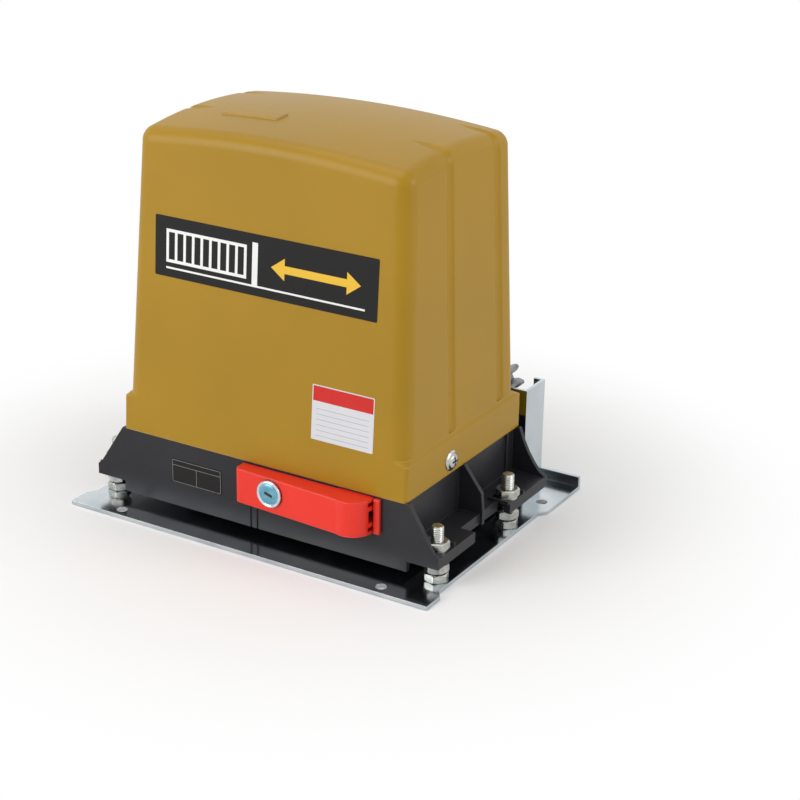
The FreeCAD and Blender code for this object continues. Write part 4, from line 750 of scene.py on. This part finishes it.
floor_shader.inputs["Base Color"].default_value = floor_white
floor_shader.inputs["Roughness"].default_value = 0.9
floor_shader.inputs["Specular IOR Level"].default_value = 0.1
floor_glow = floor_nodes.new("ShaderNodeEmission")
floor_glow.inputs["Color"].default_value = studio_white
floor_glow.inputs["Strength"].default_value = 1.0
floor_rays = floor_nodes.new("ShaderNodeLightPath")
floor_place = floor_nodes.new("ShaderNodeTexCoord")
floor_length = floor_nodes.new("ShaderNodeVectorMath")
floor_length.operation = "LENGTH"
floor_wire(floor_place.outputs["Object"], floor_length.inputs[0])
floor_fade = floor_nodes.new("ShaderNodeMapRange")
floor_fade.interpolation_type = "SMOOTHSTEP"
floor_fade.inputs["From Min"].default_value = shadow_ends
floor_fade.inputs["From Max"].default_value = plain_from
floor_wire(floor_length.outputs["Value"], floor_fade.inputs["Value"])
floor_seen = floor_nodes.new("ShaderNodeMath")
floor_seen.operation = "MULTIPLY"
floor_wire(floor_rays.outputs["Is Camera Ray"], floor_seen.inputs[0])
floor_wire(floor_fade.outputs["Result"], floor_seen.inputs[1])
floor_mix = floor_nodes.new("ShaderNodeMixShader")
floor_wire(floor_seen.outputs["Value"], floor_mix.inputs["Fac"])
floor_wire(floor_shader.outputs["BSDF"], floor_mix.inputs[1])
floor_wire(floor_glow.outputs["Emission"], floor_mix.inputs[2])
floor_wire(floor_mix.outputs["Shader"], floor_nodes["Material Output"].inputs["Surface"])
floor_mesh.materials.append(floor_paint)

sky_strength = 0.55
sky = bpy.data.worlds.new("studio_sky")
bpy.context.scene.world = sky
sky.use_nodes = True
sky_nodes = sky.node_tree.nodes
sky_wire = sky.node_tree.links.new
sky_light = sky_nodes["Background"]
sky_light.inputs["Color"].default_value = studio_white
sky_light.inputs["Strength"].default_value = sky_strength
sky_white = sky_nodes.new("ShaderNodeBackground")
sky_white.inputs["Color"].default_value = studio_white
sky_white.inputs["Strength"].default_value = 1.0
sky_rays = sky_nodes.new("ShaderNodeLightPath")
sky_shown = sky_nodes.new("ShaderNodeMath")
sky_shown.operation = "MAXIMUM"
sky_wire(sky_rays.outputs["Is Camera Ray"], sky_shown.inputs[0])
sky_wire(sky_rays.outputs["Is Transmission Ray"], sky_shown.inputs[1])
sky_seen = sky_nodes.new("ShaderNodeMath")
sky_seen.operation = "MAXIMUM"
sky_wire(sky_shown.outputs["Value"], sky_seen.inputs[0])
sky_wire(sky_rays.outputs["Is Glossy Ray"], sky_seen.inputs[1])
sky_mix = sky_nodes.new("ShaderNodeMixShader")
sky_wire(sky_seen.outputs["Value"], sky_mix.inputs["Fac"])
sky_wire(sky_light.outputs["Background"], sky_mix.inputs[1])
sky_wire(sky_white.outputs["Background"], sky_mix.inputs[2])
sky_wire(sky_mix.outputs["Shader"], sky_nodes["World Output"].inputs["Surface"])


def soft_lamp(name, place, size, power):
    """A broad square lamp pointed at the middle of the part."""
    lamp = bpy.data.lights.new(name, "AREA")
    lamp.size = size
    lamp.energy = power
    made = bpy.data.objects.new(name, lamp)
    bpy.context.collection.objects.link(made)
    made.location = place
    made.rotation_euler = (part_middle - Vector(place)).to_track_quat("-Z", "Y").to_euler()


part_middle = Vector((0, 0, 0.15))
soft_lamp("lamp_above", (-0.3, -0.2, 1.9), 1.2, 8.0)
soft_lamp("lamp_left", (-1.1, -1.9, 1.0), 1.4, 23.0)
soft_lamp("lamp_right", (2.0, 0.35, 0.9), 1.2, 13.0)

# Camera
# Stands to the right of the front and looks down on the part through a long lens.
# The small shift only sets where the part stands in the frame.
camera_lens = bpy.data.cameras.new("studio_camera")
camera_lens.sensor_width = 36.0
camera_lens.lens = 89.08
camera_lens.shift_x = 0.0259
camera_lens.shift_y = -0.0039
camera = bpy.data.objects.new("studio_camera", camera_lens)
bpy.context.collection.objects.link(camera)
camera_place = Vector((0.7940, -1.2235, 0.6843))
camera_turn, camera_tilt, camera_roll = math.radians(31.41), math.radians(22.25), math.radians(0.71)
behind = Vector((math.sin(camera_turn) * math.cos(camera_tilt),
                 -math.cos(camera_turn) * math.cos(camera_tilt), math.sin(camera_tilt)))
rightward = Vector((math.cos(camera_turn), math.sin(camera_turn), 0))
upward = behind.cross(rightward)
level_right = rightward * math.cos(camera_roll) + upward * math.sin(camera_roll)
level_up = upward * math.cos(camera_roll) - rightward * math.sin(camera_roll)
axes = Matrix((level_right, level_up, behind)).transposed()
camera.matrix_world = Matrix.Translation(camera_place) @ axes.to_4x4()
bpy.context.scene.camera = camera
bpy.context.scene.view_settings.view_transform = "Standard"
